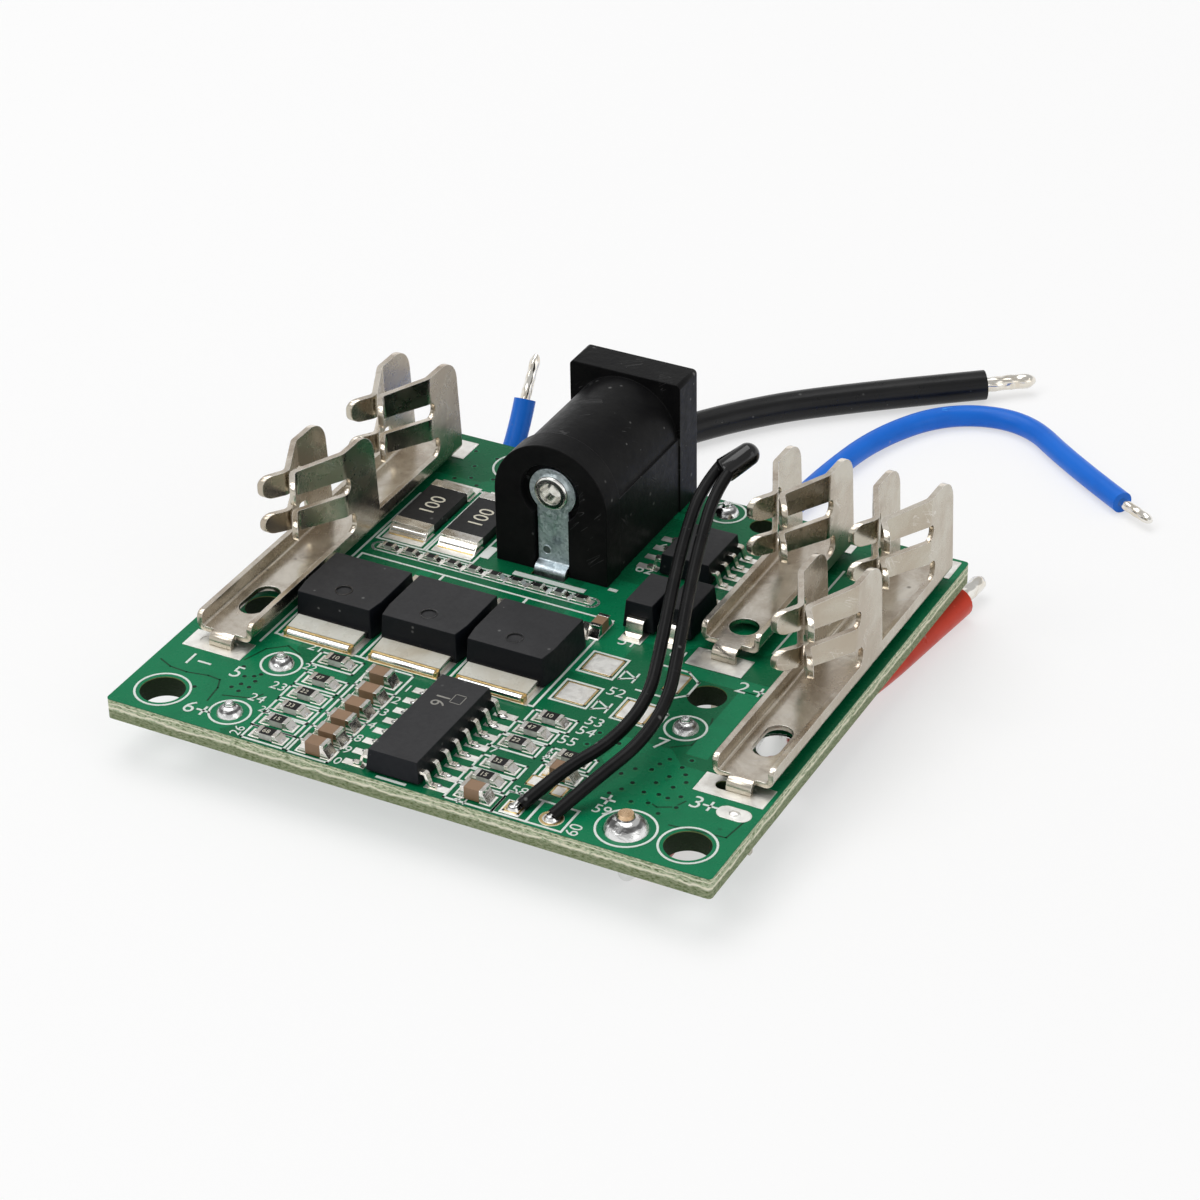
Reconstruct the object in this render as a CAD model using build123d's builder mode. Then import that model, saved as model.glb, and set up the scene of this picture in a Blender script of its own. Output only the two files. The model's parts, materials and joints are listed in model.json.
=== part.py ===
from build123d import *
import math
import os

os.makedirs("parts", exist_ok=True)

# Board, millimetres; X runs across the terminals, Y from front edge to back edge
board_width = 46.0
board_depth = 42.1
board_thick = 1.6
board_corner = 0.3
front_edge = -board_depth / 2
rear_edge = board_depth / 2
stand_height = 3.1
board_top = stand_height + board_thick
mount_hole_radius = 1.6
mount_hole_spacing = 40.15
mount_hole_inset = 2.6
mount_hole_y = front_edge + mount_hole_inset
plain_hole_at = (13.7, front_edge + 18.35)
plain_hole_radius = 1.375
small_hole_at = (7.55, rear_edge - 2.1)
small_hole_radius = 0.95
window_radius = 1.45
window_back = 0.6
pad_thick = 0.05
print_thick = 0.03
print_width = 0.17
pad_top = board_top + pad_thick
part_fit = 0.05

# Folded blade terminals
sheet = 0.4
channel_width = 4.45
channel_lift = 0.55
flange_height = 1.45
channel_bend = 0.45
flange_corner = 0.5
blade_height = 8.9
arm_start = 2.18
pinch_back = 5.98
pinch_half = 0.225
tip_back = 7.79
tip_half = 1.6
arm_bends = [0.9, 0.7]
wall_rear_foot = 2.15
wall_rear_top = 1.6
wall_rear_round = 2.0
tip_round = 0.7
upper_tip_low = 7.15
upper_root_low = 6.72
lower_tip_high = 5.85
lower_root_high = 5.42
lower_tip_low = 4.3
lower_root_low = 3.56
slot_back = 1.56
slot_round = 0.6
relief_back = 1.05
relief_round = 0.7
relief_end = 2.1
tab_width = 1.8
tab_reach = 0.5
short_tab_reach = 1.0
tab_bend = 0.45
rear_tab_reach = 0.6
tab_slot_length = 2.9
tab_slot_width = 1.0
tab_slot_shift = 0.35
tab_slot_back = 0.25
base_hole_radius = 0.975
base_hole_length = 3.85
base_hole_back = 4.6
short_base_hole_radius = 1.075
short_base_hole_back = 2.2
short_tab_foot = 2.75
p_minus_x = -19.34
p_minus_front = front_edge + 9.4
p_minus_rear = rear_edge - 3.0
p_minus_peaks = [3.81, p_minus_rear - wall_rear_foot]
p_plus_x = 20.5
p_plus_front = front_edge + 9.8
p_plus_rear = rear_edge - 2.6
p_plus_peaks = [3.99, p_plus_rear - wall_rear_foot]
c_plus_x = 12.8
c_plus_front = front_edge + 23.8
c_plus_rear = rear_edge - 2.6
c_plus_peaks = [c_plus_rear - wall_rear_foot]

# Charging socket; its mouth faces the back edge
jack_x = -3.25
jack_front = 6.5
jack_length = 14.4
jack_back = jack_front + jack_length
jack_width = 9.0
jack_side_step = 0.1
jack_ledge = 6.2
jack_barrel_radius = 4.25
jack_axis_height = 5.95
jack_flange_height = 10.6
jack_flange_thick = 2.8
jack_plate_thick = 2.1
jack_corner = 0.35
jack_mouth_radius = 3.15
jack_mouth_depth = 10.0
jack_pin_radius = 1.0
jack_pin_back_from_mouth = 1.0
jack_pin_hole_gap = 0.03
keyhole_radius = 2.35
keyhole_width = 2.8
keyhole_depth = 0.7
keyhole_axis_height = 6.56
contact_radius = 1.85
contact_width = 2.5
contact_thick = 0.3
contact_foot_reach = 0.75
contact_foot_height = 0.95
contact_foot_bend = 0.3
contact_slot_gap = 0.2
jack_slot_width = 1.0
mouth_rise = 0.61
rivet_radius = 1.35
rivet_height = 0.35
rivet_round = 0.21
pin_tip_round = 0.6
rivet_bore_radius = 0.85
rivet_bore_depth = 0.9
spring_width = 3.0
spring_thick = 0.3
spring_pocket_floor = 1.6
spring_front = jack_front + 6.5
spring_gap = 0.1
spring_flat = 1.2
spring_rise = 1.1
spring_rise_back = 3.0
spring_mouth_gap = 0.4
spring_bend = 0.4
rivet_bore_taper = 12.0
inner_leg_foot = 0.8
switch_x = jack_x + 3.8
switch_width = 2.4
switch_y = jack_front + 8.9

# Power transistors
mosfet_left = -16.69
mosfet_first_gap = 0.36
mosfet_second_gap = 0.31
mosfet_back = front_edge + 20.15
mosfet_length = 5.9
mosfet_width = 6.5
mosfet_height = 2.3
mosfet_draft = 3.5
mosfet_facet_x = 0.22
mosfet_facet_y = 1.5
mosfet_dimple_radius = 0.6
mosfet_dimple_depth = 0.12
mosfet_dimple_back = 1.6
mosfet_tab_width = 5.45
mosfet_tab_thick = 0.5
mosfet_tab_front = 1.85
mosfet_tab_inside = 4.0
mosfet_solder_reach = 0.35
mosfet_solder_height = 0.4
mosfet_lead_offset = 2.28
mosfet_lead_width = 0.75
mosfet_lead_thick = 0.45
mosfet_lead_height = 0.95
mosfet_lead_inside = 0.6
mosfet_lead_level = 0.5
mosfet_lead_drop = 0.5
mosfet_lead_reach = 2.2
mosfet_first_x = mosfet_left + mosfet_width / 2
mosfet_second_x = mosfet_first_x + mosfet_width + mosfet_first_gap
mosfet_third_x = mosfet_second_x + mosfet_width + mosfet_second_gap
mosfet_xs = [mosfet_first_x, mosfet_second_x, mosfet_third_x]

# Gull-wing chips; a chip's length follows its row of leads
chip_pitch = 1.33
lead_width = 0.42
lead_thick = 0.2
lead_inside = 0.3
lead_level = 0.35
lead_drop = 0.25
lead_shoulder_height = 0.95
chip_body_width = 4.05
chip_span = 6.3
chip_stand_off = 0.12
chip_draft = 6.0
big_chip_height = 1.75
big_chip_leads = 8
big_chip_end = 0.445
big_chip_inset = 0.45
big_chip_length = (big_chip_leads - 1) * chip_pitch + 2 * big_chip_end
big_chip_at = (-0.6, front_edge + big_chip_inset + big_chip_length / 2)
small_chip_height = 1.7
small_chip_leads = 4
small_chip_end = 0.555
small_chip_length = (small_chip_leads - 1) * chip_pitch + 2 * small_chip_end
small_chip_at = (5.75, 12.25)

# Moulded diodes, side by side, placed by the middle of their cases
diode_width = 2.45
diode_gap = 0.25
diode_x = 5.85
diode_at = [(diode_x, 4.45), (diode_x + diode_width + diode_gap, 4.95)]
diode_length = 4.3
diode_height = 2.3
diode_draft = 5.0
diode_tab_width = 1.3
diode_tab_thick = 0.25
diode_tab_height = 1.1
diode_tab_reach = 0.55
diode_tab_foot = 1.1

# Shunt resistors, along Y
shunt_at = [(-15.05, 9.9), (-10.95, 9.9)]
shunt_length = 6.6
shunt_width = 3.1
shunt_height = 0.7
shunt_cap = 0.85
shunt_solder = 0.5

# Small chip parts, along X, placed by their middle and its distance from the front edge
resistor_spots = [
    (-10.95, 10.65), (-10.65, 8.05), (-10.69, 6.15), (-10.64, 4.3), (-10.66, 2.55), (-10.5, 0.95),
    (5.63, 11.01), (5.18, 9.27), (5.0, 7.5), (5.1, 4.85), (5.0, 3.1), (8.95, 7.55),
]
resistor_at = [(spot_x, front_edge + from_front) for spot_x, from_front in resistor_spots]
resistor_length = 1.6
resistor_width = 0.85
resistor_height = 0.45
resistor_cap = 0.3
resistor_solder = 0.42
capacitor_spots = [
    (-7.15, 10.05), (-6.74, 7.95), (-6.72, 6.1), (-6.74, 4.3), (-6.65, 2.55), (-6.72, 0.95),
    (5.27, 1.2), (9.24, 5.65),
]
capacitor_at = [(spot_x, front_edge + from_front) for spot_x, from_front in capacitor_spots]
capacitor_length = 1.7
capacitor_width = 1.05
capacitor_height = 0.9
capacitor_cap = 0.28
capacitor_solder = 0.4
solder_climb = 0.75
gate_capacitor_at = (3.36, front_edge + 22.4)
row_part_y = jack_front - 2.25
row_part_start = -15.4
row_part_step = 1.75
row_part_count = 10
row_part_length = 1.0
row_part_width = 0.5
row_part_height = 0.3
row_part_cap = 0.22

# Bare and tinned pads: middle and size, counted from the front edge
framed_pads = [(5.6, 18.6, 2.4, 2.3), (5.575, 14.7, 2.45, 2.3), (10.25, 14.5, 2.3, 2.3)]
plain_pads = [(11.15, 18.85, 1.3, 2.35), (7.95, 4.45, 1.0, 1.2), (9.92, 4.15, 1.0, 1.2)]
sensor_square_pad = 1.5
long_pad_at = (21.25, front_edge + 6.95)
long_pad_length = 2.45
long_pad_width = 1.35
shunt_pad_width = 3.3
shunt_pad_length = 2.0
mosfet_pad_width = 6.0
mosfet_pad_length = 2.9
mosfet_lead_pad = (1.3, 1.9)
mosfet_lead_pad_back = 0.5
chip_pad = (1.7, 0.6)
small_pad_length = 0.85

# White print: rings, frames and bars
ring_gap = 0.4
hole_ring_gap = 0.25
mosfet_frame_side = 0.255
mosfet_frame_front = 2.3
mosfet_frame_back = 3.8
shunt_frame_side = 0.48
shunt_frame_front = 1.55
shunt_frame_back = 1.0
pad_frame_gap = 0.25
sensor_frame_sides = [(6.9, 9.6), (9.45, 12.2)]
sensor_frame_front = front_edge + 0.15
sensor_frame_back = front_edge + 2.85
print_bars = [
    (jack_x + 0.4, jack_front - 1.15, 5.8, 0.5),
    (jack_x - 5.35, jack_front + 0.4, 0.7, 1.6),
    (jack_x + 5.0, jack_front - 0.1, 0.7, 0.35),
    (c_plus_x + 2.65, c_plus_front + 7.25, 0.17, 12.0),
    (big_chip_at[0], front_edge + 0.27, 2.3, 0.25),
]

# Solder joints: place, dome radius, dome height, bump radius, bump height
b2_joint = (-14.43, front_edge + 8.89)
b_plus_joint = (-14.44, front_edge + 2.3)
b3_joint = (14.08, front_edge + 14.32)
positive_joint = (15.70, front_edge + 2.48)
rear_joint = (4.37, rear_edge - 1.55)
b_minus_joint = (-12.4, rear_edge - 2.55)
joint_dome_radius = 0.95
joint_dome_height = 0.62
joint_bump_radius = 0.3
joint_bump_height = 0.28
large_dome_radius = 1.55
large_dome_height = 0.95
large_bump_radius = 0.5
large_bump_height = 0.25
joint_under_height = 0.6
joint_under_share = 0.9
dome_shoulder_out = 0.75
dome_shoulder_up = 0.62
bump_round_share = 0.4
sensor_core_radius = 0.2
sensor_dome_radius = 0.5
sensor_dome_height = 0.3
sensor_dome_taper = 30.0
sensor_pad_radius = 0.85
leg_solder_reach = 0.4
leg_solder_height = 0.35
leg_solder_taper = 35.0

# Leads: soft wires that lie on the floor under and behind the board
power_wire_radius = 1.2
power_core_radius = 0.6
balance_wire_radius = 0.85
balance_core_radius = 0.4
bend_share = 0.45
tip_round_share = 0.8
red_points = [
    (16.28, -16.76, 1.2), (17.9, -11.6, 1.2), (18.15, -4.2, 1.2), (19.3, 3.0, 1.2), (20.9, 10.0, 1.2),
    (21.6, 15.8, 1.2), (22.3, 21.0, 1.2),
]
red_tip_end = (22.7, 24.5, 1.2)
black_points = [
    (-12.07, 20.37, 1.2), (-11.2, 25.4, 1.2), (-8.4, 31.4, 1.2), (-4.5, 37.6, 1.2), (1.2, 43.6, 1.2),
    (11.7, 51.5, 1.2),
]
black_tip_end = (15.0, 54.0, 1.2)
long_blue_points = [
    (4.68, 21.22, 0.85), (5.6, 26.4, 0.85), (5.9, 33.0, 0.85), (7.1, 40.6, 0.85), (10.6, 46.6, 0.85),
    (16.6, 48.2, 0.85), (22.1, 43.6, 0.85), (27.8, 39.8, 0.85),
]
long_blue_tip_end = (30.7, 38.2, 0.85)
short_blue_points = [
    (-14.69, -10.48, 0.85), (-15.6, -4.5, 0.85), (-16.1, 2.0, 0.85), (-16.2, 8.8, 0.85),
    (-15.9, 15.2, 0.85), (-15.34, 21.74, 0.85), (-15.75, 25.46, 6.25),
]
short_blue_tip_end = (-15.78, 27.55, 9.15)

# Temperature sensor on two thin leads that stand up from the board
sensor_wire_radius = 0.45
sensor_left_foot = (8.15, front_edge + 1.15)
sensor_right_foot = (10.89, front_edge + 1.25)
sensor_left_points = [
    (8.55, -19.2, 5.35), (9.9, -16.8, 6.2), (12.0, -13.4, 7.1), (12.45, -9.0, 7.9), (11.0, -4.3, 8.85),
    (9.2, 0.9, 9.8), (7.6, 6.0, 10.8), (6.45, 11.0, 11.9), (6.75, 13.6, 12.5),
]
sensor_right_points = [
    (11.25, -19.1, 5.35), (12.6, -16.6, 6.5), (13.95, -13.0, 7.4), (13.75, -8.6, 8.0), (12.15, -3.9, 8.85),
    (10.3, 1.3, 9.8), (8.7, 6.4, 10.8), (7.55, 11.0, 11.9), (7.72, 12.75, 12.5),
]
bead_start = (7.3, 13.5, 12.45)
bead_end = (8.9, 15.1, 13.7)
bead_radius = 0.9
bead_round = 0.81


def bend_radii(points):
    # Radius of the arc at each corner of a wire's route
    radii = []
    for before, here, after in zip(points, points[1:], points[2:]):
        first = Vector(*here) - Vector(*before)
        second = Vector(*after) - Vector(*here)
        half_turn = math.radians(first.get_angle(second)) / 2
        radii.append(bend_share * min(first.length, second.length) / math.tan(half_turn))
    return radii


def make_wire(name, points, radius):
    radii = bend_radii(points)
    print(name, "diameter", 2 * radius, "bend radii", [round(value, 1) for value in radii])
    with BuildPart() as wire:
        with BuildLine() as route:
            FilletPolyline(*points, radius=radii)
        with BuildSketch(Plane(origin=route.line @ 0, z_dir=route.line % 0)):
            Circle(radius)
        sweep(path=route.line)
    route_length = sum(edge.length for edge in route.edges())
    section_length = wire.part.volume / (math.pi * radius**2)
    print(name, "length", round(route_length, 1), "volume over section", round(section_length, 1))
    return wire.part


def make_rod(start, end, radius):
    # Straight round rod between two points
    direction = Vector(*end) - Vector(*start)
    with BuildPart() as rod:
        with BuildSketch(Plane(origin=start, z_dir=direction)):
            Circle(radius)
        extrude(amount=direction.length)
    return rod.part


def make_core_tip(points, tip_end, radius):
    # Stripped, tinned end of a lead, from the last point of its tube
    start = Vector(*points[-1])
    direction = Vector(*tip_end) - start
    with BuildPart() as tip:
        with BuildSketch(Plane(origin=start, z_dir=direction)):
            Circle(radius)
        extrude(amount=direction.length)
        far_edges = tip.edges().group_by(lambda edge: (edge.center() - start).length)[-1]
        fillet(far_edges, radius * tip_round_share)
    return tip.part


def make_terminal(mid_x, front_y, rear_y, peaks, hole_y, hole_radius, hole_length, reach, rear_foot):
    # One folded sheet: a channel, spring blades over it and a tab at each end
    floor_mid = board_top + channel_lift + sheet / 2
    wall_mid = channel_width / 2 - sheet / 2
    flange_top = board_top + channel_lift + flange_height
    blade_foot = flange_top - flange_height / 3
    blade_top = board_top + blade_height
    with BuildPart() as blades:
        for peak in peaks:
            for side in (-1, 1):
                with BuildSketch(Plane.XY.offset(blade_foot)):
                    with BuildLine():
                        FilletPolyline(
                            (mid_x + side * wall_mid, peak + wall_rear_foot),
                            (mid_x + side * wall_mid, peak - arm_start),
                            (mid_x + side * pinch_half, peak - pinch_back),
                            (mid_x + side * tip_half, peak - tip_back - sheet),
                            radius=arm_bends,
                        )
                    trace(line_width=sheet)
                extrude(amount=blade_top - blade_foot)
        with BuildSketch(Plane.YZ.offset(mid_x - channel_width)):
            for peak in peaks:
                with BuildSketch(mode=Mode.PRIVATE) as side_view:
                    with BuildLine():
                        Polyline(
                            (peak + wall_rear_foot, blade_foot),
                            (peak + wall_rear_foot, flange_top),
                            (peak + wall_rear_top, blade_top),
                            (peak - tip_back, blade_top),
                            (peak - tip_back, board_top + upper_tip_low),
                            (peak - slot_back, board_top + upper_root_low),
                            (peak - slot_back, board_top + lower_root_high),
                            (peak - tip_back, board_top + lower_tip_high),
                            (peak - tip_back, board_top + lower_tip_low),
                            (peak - relief_back, board_top + lower_root_low),
                            (peak - relief_back, flange_top),
                            (peak - relief_end, flange_top),
                            (peak - relief_end, blade_foot),
                            close=True,
                        )
                    make_face()
                    rear_top = side_view.vertices().sort_by_distance((peak + wall_rear_top, blade_top))[0]
                    fillet(rear_top, wall_rear_round)
                    slot_corners = [
                        side_view.vertices().sort_by_distance((peak - slot_back, board_top + height))[0]
                        for height in (upper_root_low, lower_root_high)
                    ]
                    fillet(slot_corners, slot_round)
                    relief_corners = [
                        side_view.vertices().sort_by_distance((peak - relief_back, height))[0]
                        for height in (board_top + lower_root_low, flange_top)
                    ]
                    fillet(relief_corners, relief_round)
                    tip_corners = [
                        side_view.vertices().sort_by_distance((peak - tip_back, board_top + height))[0]
                        for height in (blade_height, upper_tip_low, lower_tip_high, lower_tip_low)
                    ]
                    fillet(tip_corners, tip_round)
                add(side_view.sketch)
        extrude(amount=2 * channel_width, mode=Mode.INTERSECT)
    with BuildPart() as terminal:
        with BuildSketch(Plane.XZ.offset(-front_y)):
            with BuildLine():
                FilletPolyline(
                    (mid_x - wall_mid, flange_top),
                    (mid_x - wall_mid, floor_mid),
                    (mid_x + wall_mid, floor_mid),
                    (mid_x + wall_mid, flange_top),
                    radius=channel_bend,
                )
            trace(line_width=sheet)
        extrude(amount=front_y - rear_y)
        front_corners = terminal.edges().filter_by(Axis.X).group_by(Axis.Y)[0].group_by(Axis.Z)[-1]
        fillet(front_corners, flange_corner)
        with BuildSketch(Plane.XY.offset(floor_mid - sheet)):
            with Locations((mid_x, hole_y)):
                if hole_length > 2 * hole_radius:
                    SlotOverall(hole_length, 2 * hole_radius, rotation=90)
                else:
                    Circle(hole_radius)
        extrude(amount=2 * sheet, mode=Mode.SUBTRACT)
        with BuildSketch(Plane.YZ.offset(mid_x - tab_width / 2)):
            with BuildLine():
                FilletPolyline(
                    (front_y + sheet, floor_mid),
                    (front_y - reach, floor_mid),
                    (front_y - reach, 0),
                    radius=tab_bend,
                )
            trace(line_width=sheet)
            with BuildLine():
                FilletPolyline(
                    (rear_y - sheet, floor_mid),
                    (rear_y + rear_tab_reach, floor_mid),
                    (rear_y + rear_tab_reach, rear_foot),
                    radius=tab_bend,
                )
            trace(line_width=sheet)
        extrude(amount=tab_width)
        add(blades.part)
    return terminal.part


def make_lead(root, outward, width, thick, shoulder_z, inside, level, drop, reach):
    # Bent lead: starts inside the case, comes out level, drops and ends in a flat foot
    side = Vector(*outward).cross(Vector(0, 0, 1))
    with BuildPart() as lead:
        with BuildSketch(Plane(origin=(root[0], root[1], 0), x_dir=outward, z_dir=side)):
            with BuildLine():
                FilletPolyline(
                    (-inside, shoulder_z),
                    (level, shoulder_z),
                    (level + drop, pad_top + thick / 2),
                    (reach, pad_top + thick / 2),
                    radius=thick / 2 + part_fit,
                )
            trace(line_width=thick)
        extrude(amount=width / 2, both=True)
    return lead.part


def make_chips(places, along, length, width, height, cap, solder):
    # Block parts with metal ends and a wedge of solder at each end
    across = Vector(*along).cross(Vector(0, 0, 1))
    with BuildPart() as bodies:
        for place in places:
            with BuildSketch(Plane(origin=(place[0], place[1], pad_top), x_dir=along, z_dir=(0, 0, 1))):
                Rectangle(length - 2 * cap, width)
            extrude(amount=height)
    with BuildPart() as ends:
        for place in places:
            for side in (-1, 1):
                with BuildSketch(Plane(origin=(place[0], place[1], pad_top), x_dir=along, z_dir=across)):
                    with BuildLine():
                        Polyline(
                            (side * (length / 2 - cap), 0),
                            (side * (length / 2 - cap), height + part_fit / 2),
                            (side * length / 2, height + part_fit / 2),
                            (side * length / 2, height * solder_climb),
                            (side * (length / 2 + solder), 0),
                            close=True,
                        )
                    make_face()
                extrude(amount=width / 2, both=True)
    return bodies.part, ends.part


def make_joint(place, dome_radius, dome_height, bump_radius, bump_height, core_radius, toward):
    # Solder joint through the board; a lead's stripped end leaves it below, toward a tube's start
    hole_radius = core_radius + 2 * part_fit
    under_low = stand_height - joint_under_height
    under_radius = dome_radius * joint_under_share
    with BuildPart() as joint:
        with BuildSketch(Plane.XZ.offset(-place[1])):
            with BuildLine():
                dome_top = board_top + dome_height
                Line((place[0], dome_top), (place[0], under_low))
                Line((place[0], under_low), (place[0] + hole_radius, under_low))
                Line((place[0] + hole_radius, under_low), (place[0] + under_radius, stand_height))
                Line((place[0] + under_radius, stand_height), (place[0] + hole_radius, stand_height))
                Line((place[0] + hole_radius, stand_height), (place[0] + hole_radius, board_top))
                Line((place[0] + hole_radius, board_top), (place[0] + dome_radius, board_top))
                ThreePointArc(
                    (place[0] + dome_radius, board_top),
                    (place[0] + dome_radius * dome_shoulder_out, board_top + dome_height * dome_shoulder_up),
                    (place[0], dome_top),
                )
            make_face()
        revolve(axis=Axis((place[0], place[1], 0), (0, 0, 1)))
        with BuildSketch(Plane.XY.offset(board_top + dome_height / 2)):
            with Locations(place):
                Circle(bump_radius)
        extrude(amount=dome_height / 2 + bump_height)
        fillet(joint.edges().group_by(Axis.Z)[-1], bump_radius * bump_round_share)
        if toward:
            bottom = (place[0], place[1], toward[2])
            add(make_rod((place[0], place[1], under_low), bottom, core_radius))
            with Locations(bottom):
                Sphere(core_radius)
            add(make_rod(bottom, toward, core_radius))
    return joint.part


# Circuit board
tab_places = [
    (p_minus_x, p_minus_front - tab_reach), (p_minus_x, p_minus_rear + rear_tab_reach),
    (c_plus_x, c_plus_front - short_tab_reach), (c_plus_x, c_plus_rear + rear_tab_reach),
    (p_plus_x, p_plus_front - tab_reach), (p_plus_x, p_plus_rear + rear_tab_reach),
]
joint_places = [b2_joint, b_plus_joint, b3_joint, rear_joint]
power_joint_places = [positive_joint, b_minus_joint]
sensor_places = [sensor_left_foot, sensor_right_foot]
contact_y = jack_front + keyhole_depth - contact_thick
contact_foot_y = contact_y - contact_foot_reach
jack_slots = [
    (jack_x, contact_foot_y + contact_thick / 2, contact_width),
    (jack_x, spring_front, spring_width),
    (switch_x, switch_y, spring_thick),
]
with BuildPart() as pcb:
    with BuildSketch(Plane.XY.offset(stand_height)):
        RectangleRounded(board_width, board_depth, board_corner)
        with Locations((-mount_hole_spacing / 2, mount_hole_y), (mount_hole_spacing / 2, mount_hole_y)):
            Circle(mount_hole_radius, mode=Mode.SUBTRACT)
        with Locations(plain_hole_at):
            Circle(plain_hole_radius, mode=Mode.SUBTRACT)
        with Locations(small_hole_at):
            Circle(small_hole_radius, mode=Mode.SUBTRACT)
        for window_x, window_front in ((p_minus_x, p_minus_front), (p_plus_x, p_plus_front)):
            with Locations((window_x, window_front + base_hole_back + window_back)):
                Circle(window_radius, mode=Mode.SUBTRACT)
        for tab_x, tab_y in tab_places:
            with Locations((tab_x - tab_slot_shift, tab_y + tab_slot_back)):
                SlotOverall(tab_slot_length, tab_slot_width, mode=Mode.SUBTRACT)
        for place in joint_places:
            with Locations(place):
                Circle(balance_core_radius + 2 * part_fit, mode=Mode.SUBTRACT)
        for place in power_joint_places:
            with Locations(place):
                Circle(power_core_radius + 2 * part_fit, mode=Mode.SUBTRACT)
        for place in sensor_places:
            with Locations(place):
                Circle(sensor_core_radius + 2 * part_fit, mode=Mode.SUBTRACT)
        for slot_x, slot_y, slot_size in jack_slots:
            with Locations((slot_x, slot_y)):
                if slot_size > jack_slot_width:
                    Rectangle(slot_size + contact_slot_gap, jack_slot_width, mode=Mode.SUBTRACT)
                else:
                    Rectangle(jack_slot_width, switch_width + contact_slot_gap, mode=Mode.SUBTRACT)
    extrude(amount=board_thick)
pcb.part.label = "pcb"
export_step(pcb.part, "parts/pcb.step")

# Blade terminals
p_minus_terminal = make_terminal(
    p_minus_x, p_minus_front, p_minus_rear, p_minus_peaks, p_minus_front + base_hole_back,
    base_hole_radius, base_hole_length, tab_reach, 0,
)
p_minus_terminal.label = "terminal_p_minus"
export_step(p_minus_terminal, "parts/terminal_p_minus.step")

c_plus_terminal = make_terminal(
    c_plus_x, c_plus_front, c_plus_rear, c_plus_peaks, c_plus_front + short_base_hole_back,
    short_base_hole_radius, 0, short_tab_reach, 0,
)
c_plus_terminal.label = "terminal_c_plus"
export_step(c_plus_terminal, "parts/terminal_c_plus.step")

p_plus_terminal = make_terminal(
    p_plus_x, p_plus_front, p_plus_rear, p_plus_peaks, p_plus_front + base_hole_back,
    base_hole_radius, base_hole_length, tab_reach, short_tab_foot,
)
p_plus_terminal.label = "terminal_p_plus"
export_step(p_plus_terminal, "parts/terminal_p_plus.step")

# Charging socket housing
jack_axis_z = board_top + jack_axis_height
keyhole_z = board_top + keyhole_axis_height
spring_z = board_top + spring_pocket_floor
with BuildPart() as jack_housing:
    with BuildSketch(Plane.XZ.offset(-jack_back)):
        with Locations((jack_x, board_top + jack_ledge / 2)):
            Rectangle(jack_width - 2 * jack_side_step, jack_ledge)
    extrude(amount=jack_back - jack_front)
    with BuildSketch(Plane.XZ.offset(-jack_back)):
        with Locations((jack_x, jack_axis_z)):
            Circle(jack_barrel_radius)
    extrude(amount=jack_back - jack_front)
    with BuildSketch(Plane.XZ.offset(-jack_front)):
        with Locations((jack_x, jack_axis_z)):
            Circle(jack_width / 2)
        with Locations((jack_x, (board_top + jack_axis_z) / 2)):
            Rectangle(jack_width, jack_axis_z - board_top)
    extrude(amount=-jack_plate_thick)
    with BuildSketch(Plane.XZ.offset(-jack_back)):
        with Locations((jack_x, board_top + jack_flange_height / 2)):
            Rectangle(jack_width, jack_flange_height)
    extrude(amount=jack_flange_thick)
    flange_corners = jack_housing.edges().filter_by(Axis.Y).group_by(Axis.Z)[-1]
    fillet(flange_corners, jack_corner)
    with BuildSketch(Plane.XZ.offset(-jack_back)):
        with Locations((jack_x, jack_axis_z + mouth_rise)):
            Circle(jack_mouth_radius)
    extrude(amount=jack_mouth_depth, mode=Mode.SUBTRACT)
    with BuildSketch(Plane.XZ.offset(-jack_front)):
        with Locations((jack_x, keyhole_z)):
            Circle(keyhole_radius)
        with Locations((jack_x, (board_top + keyhole_z) / 2)):
            Rectangle(keyhole_width, keyhole_z - board_top)
    extrude(amount=-keyhole_depth, mode=Mode.SUBTRACT)
    with BuildSketch(Plane.XZ.offset(-jack_front)):
        with Locations((jack_x, keyhole_z)):
            Circle(jack_pin_radius + jack_pin_hole_gap)
    extrude(amount=jack_front - jack_back, mode=Mode.SUBTRACT)
    with BuildSketch(Plane.XY.offset(spring_z)):
        with Locations((jack_x, (spring_front + jack_back) / 2)):
            Rectangle(spring_width + 2 * spring_gap, jack_back - spring_front + spring_thick)
    extrude(amount=jack_axis_z - spring_z, mode=Mode.SUBTRACT)
    with BuildSketch(Plane.XY.offset(board_top)):
        with Locations((jack_x, spring_front)):
            Rectangle(spring_width + 2 * spring_gap, spring_thick + 2 * spring_gap)
        with Locations((switch_x, switch_y)):
            Rectangle(spring_thick + 2 * spring_gap, switch_width + 2 * spring_gap)
    extrude(amount=jack_axis_z - board_top, mode=Mode.SUBTRACT)
jack_housing.part.label = "jack_housing"
export_step(jack_housing.part, "parts/jack_housing.step")

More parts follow.
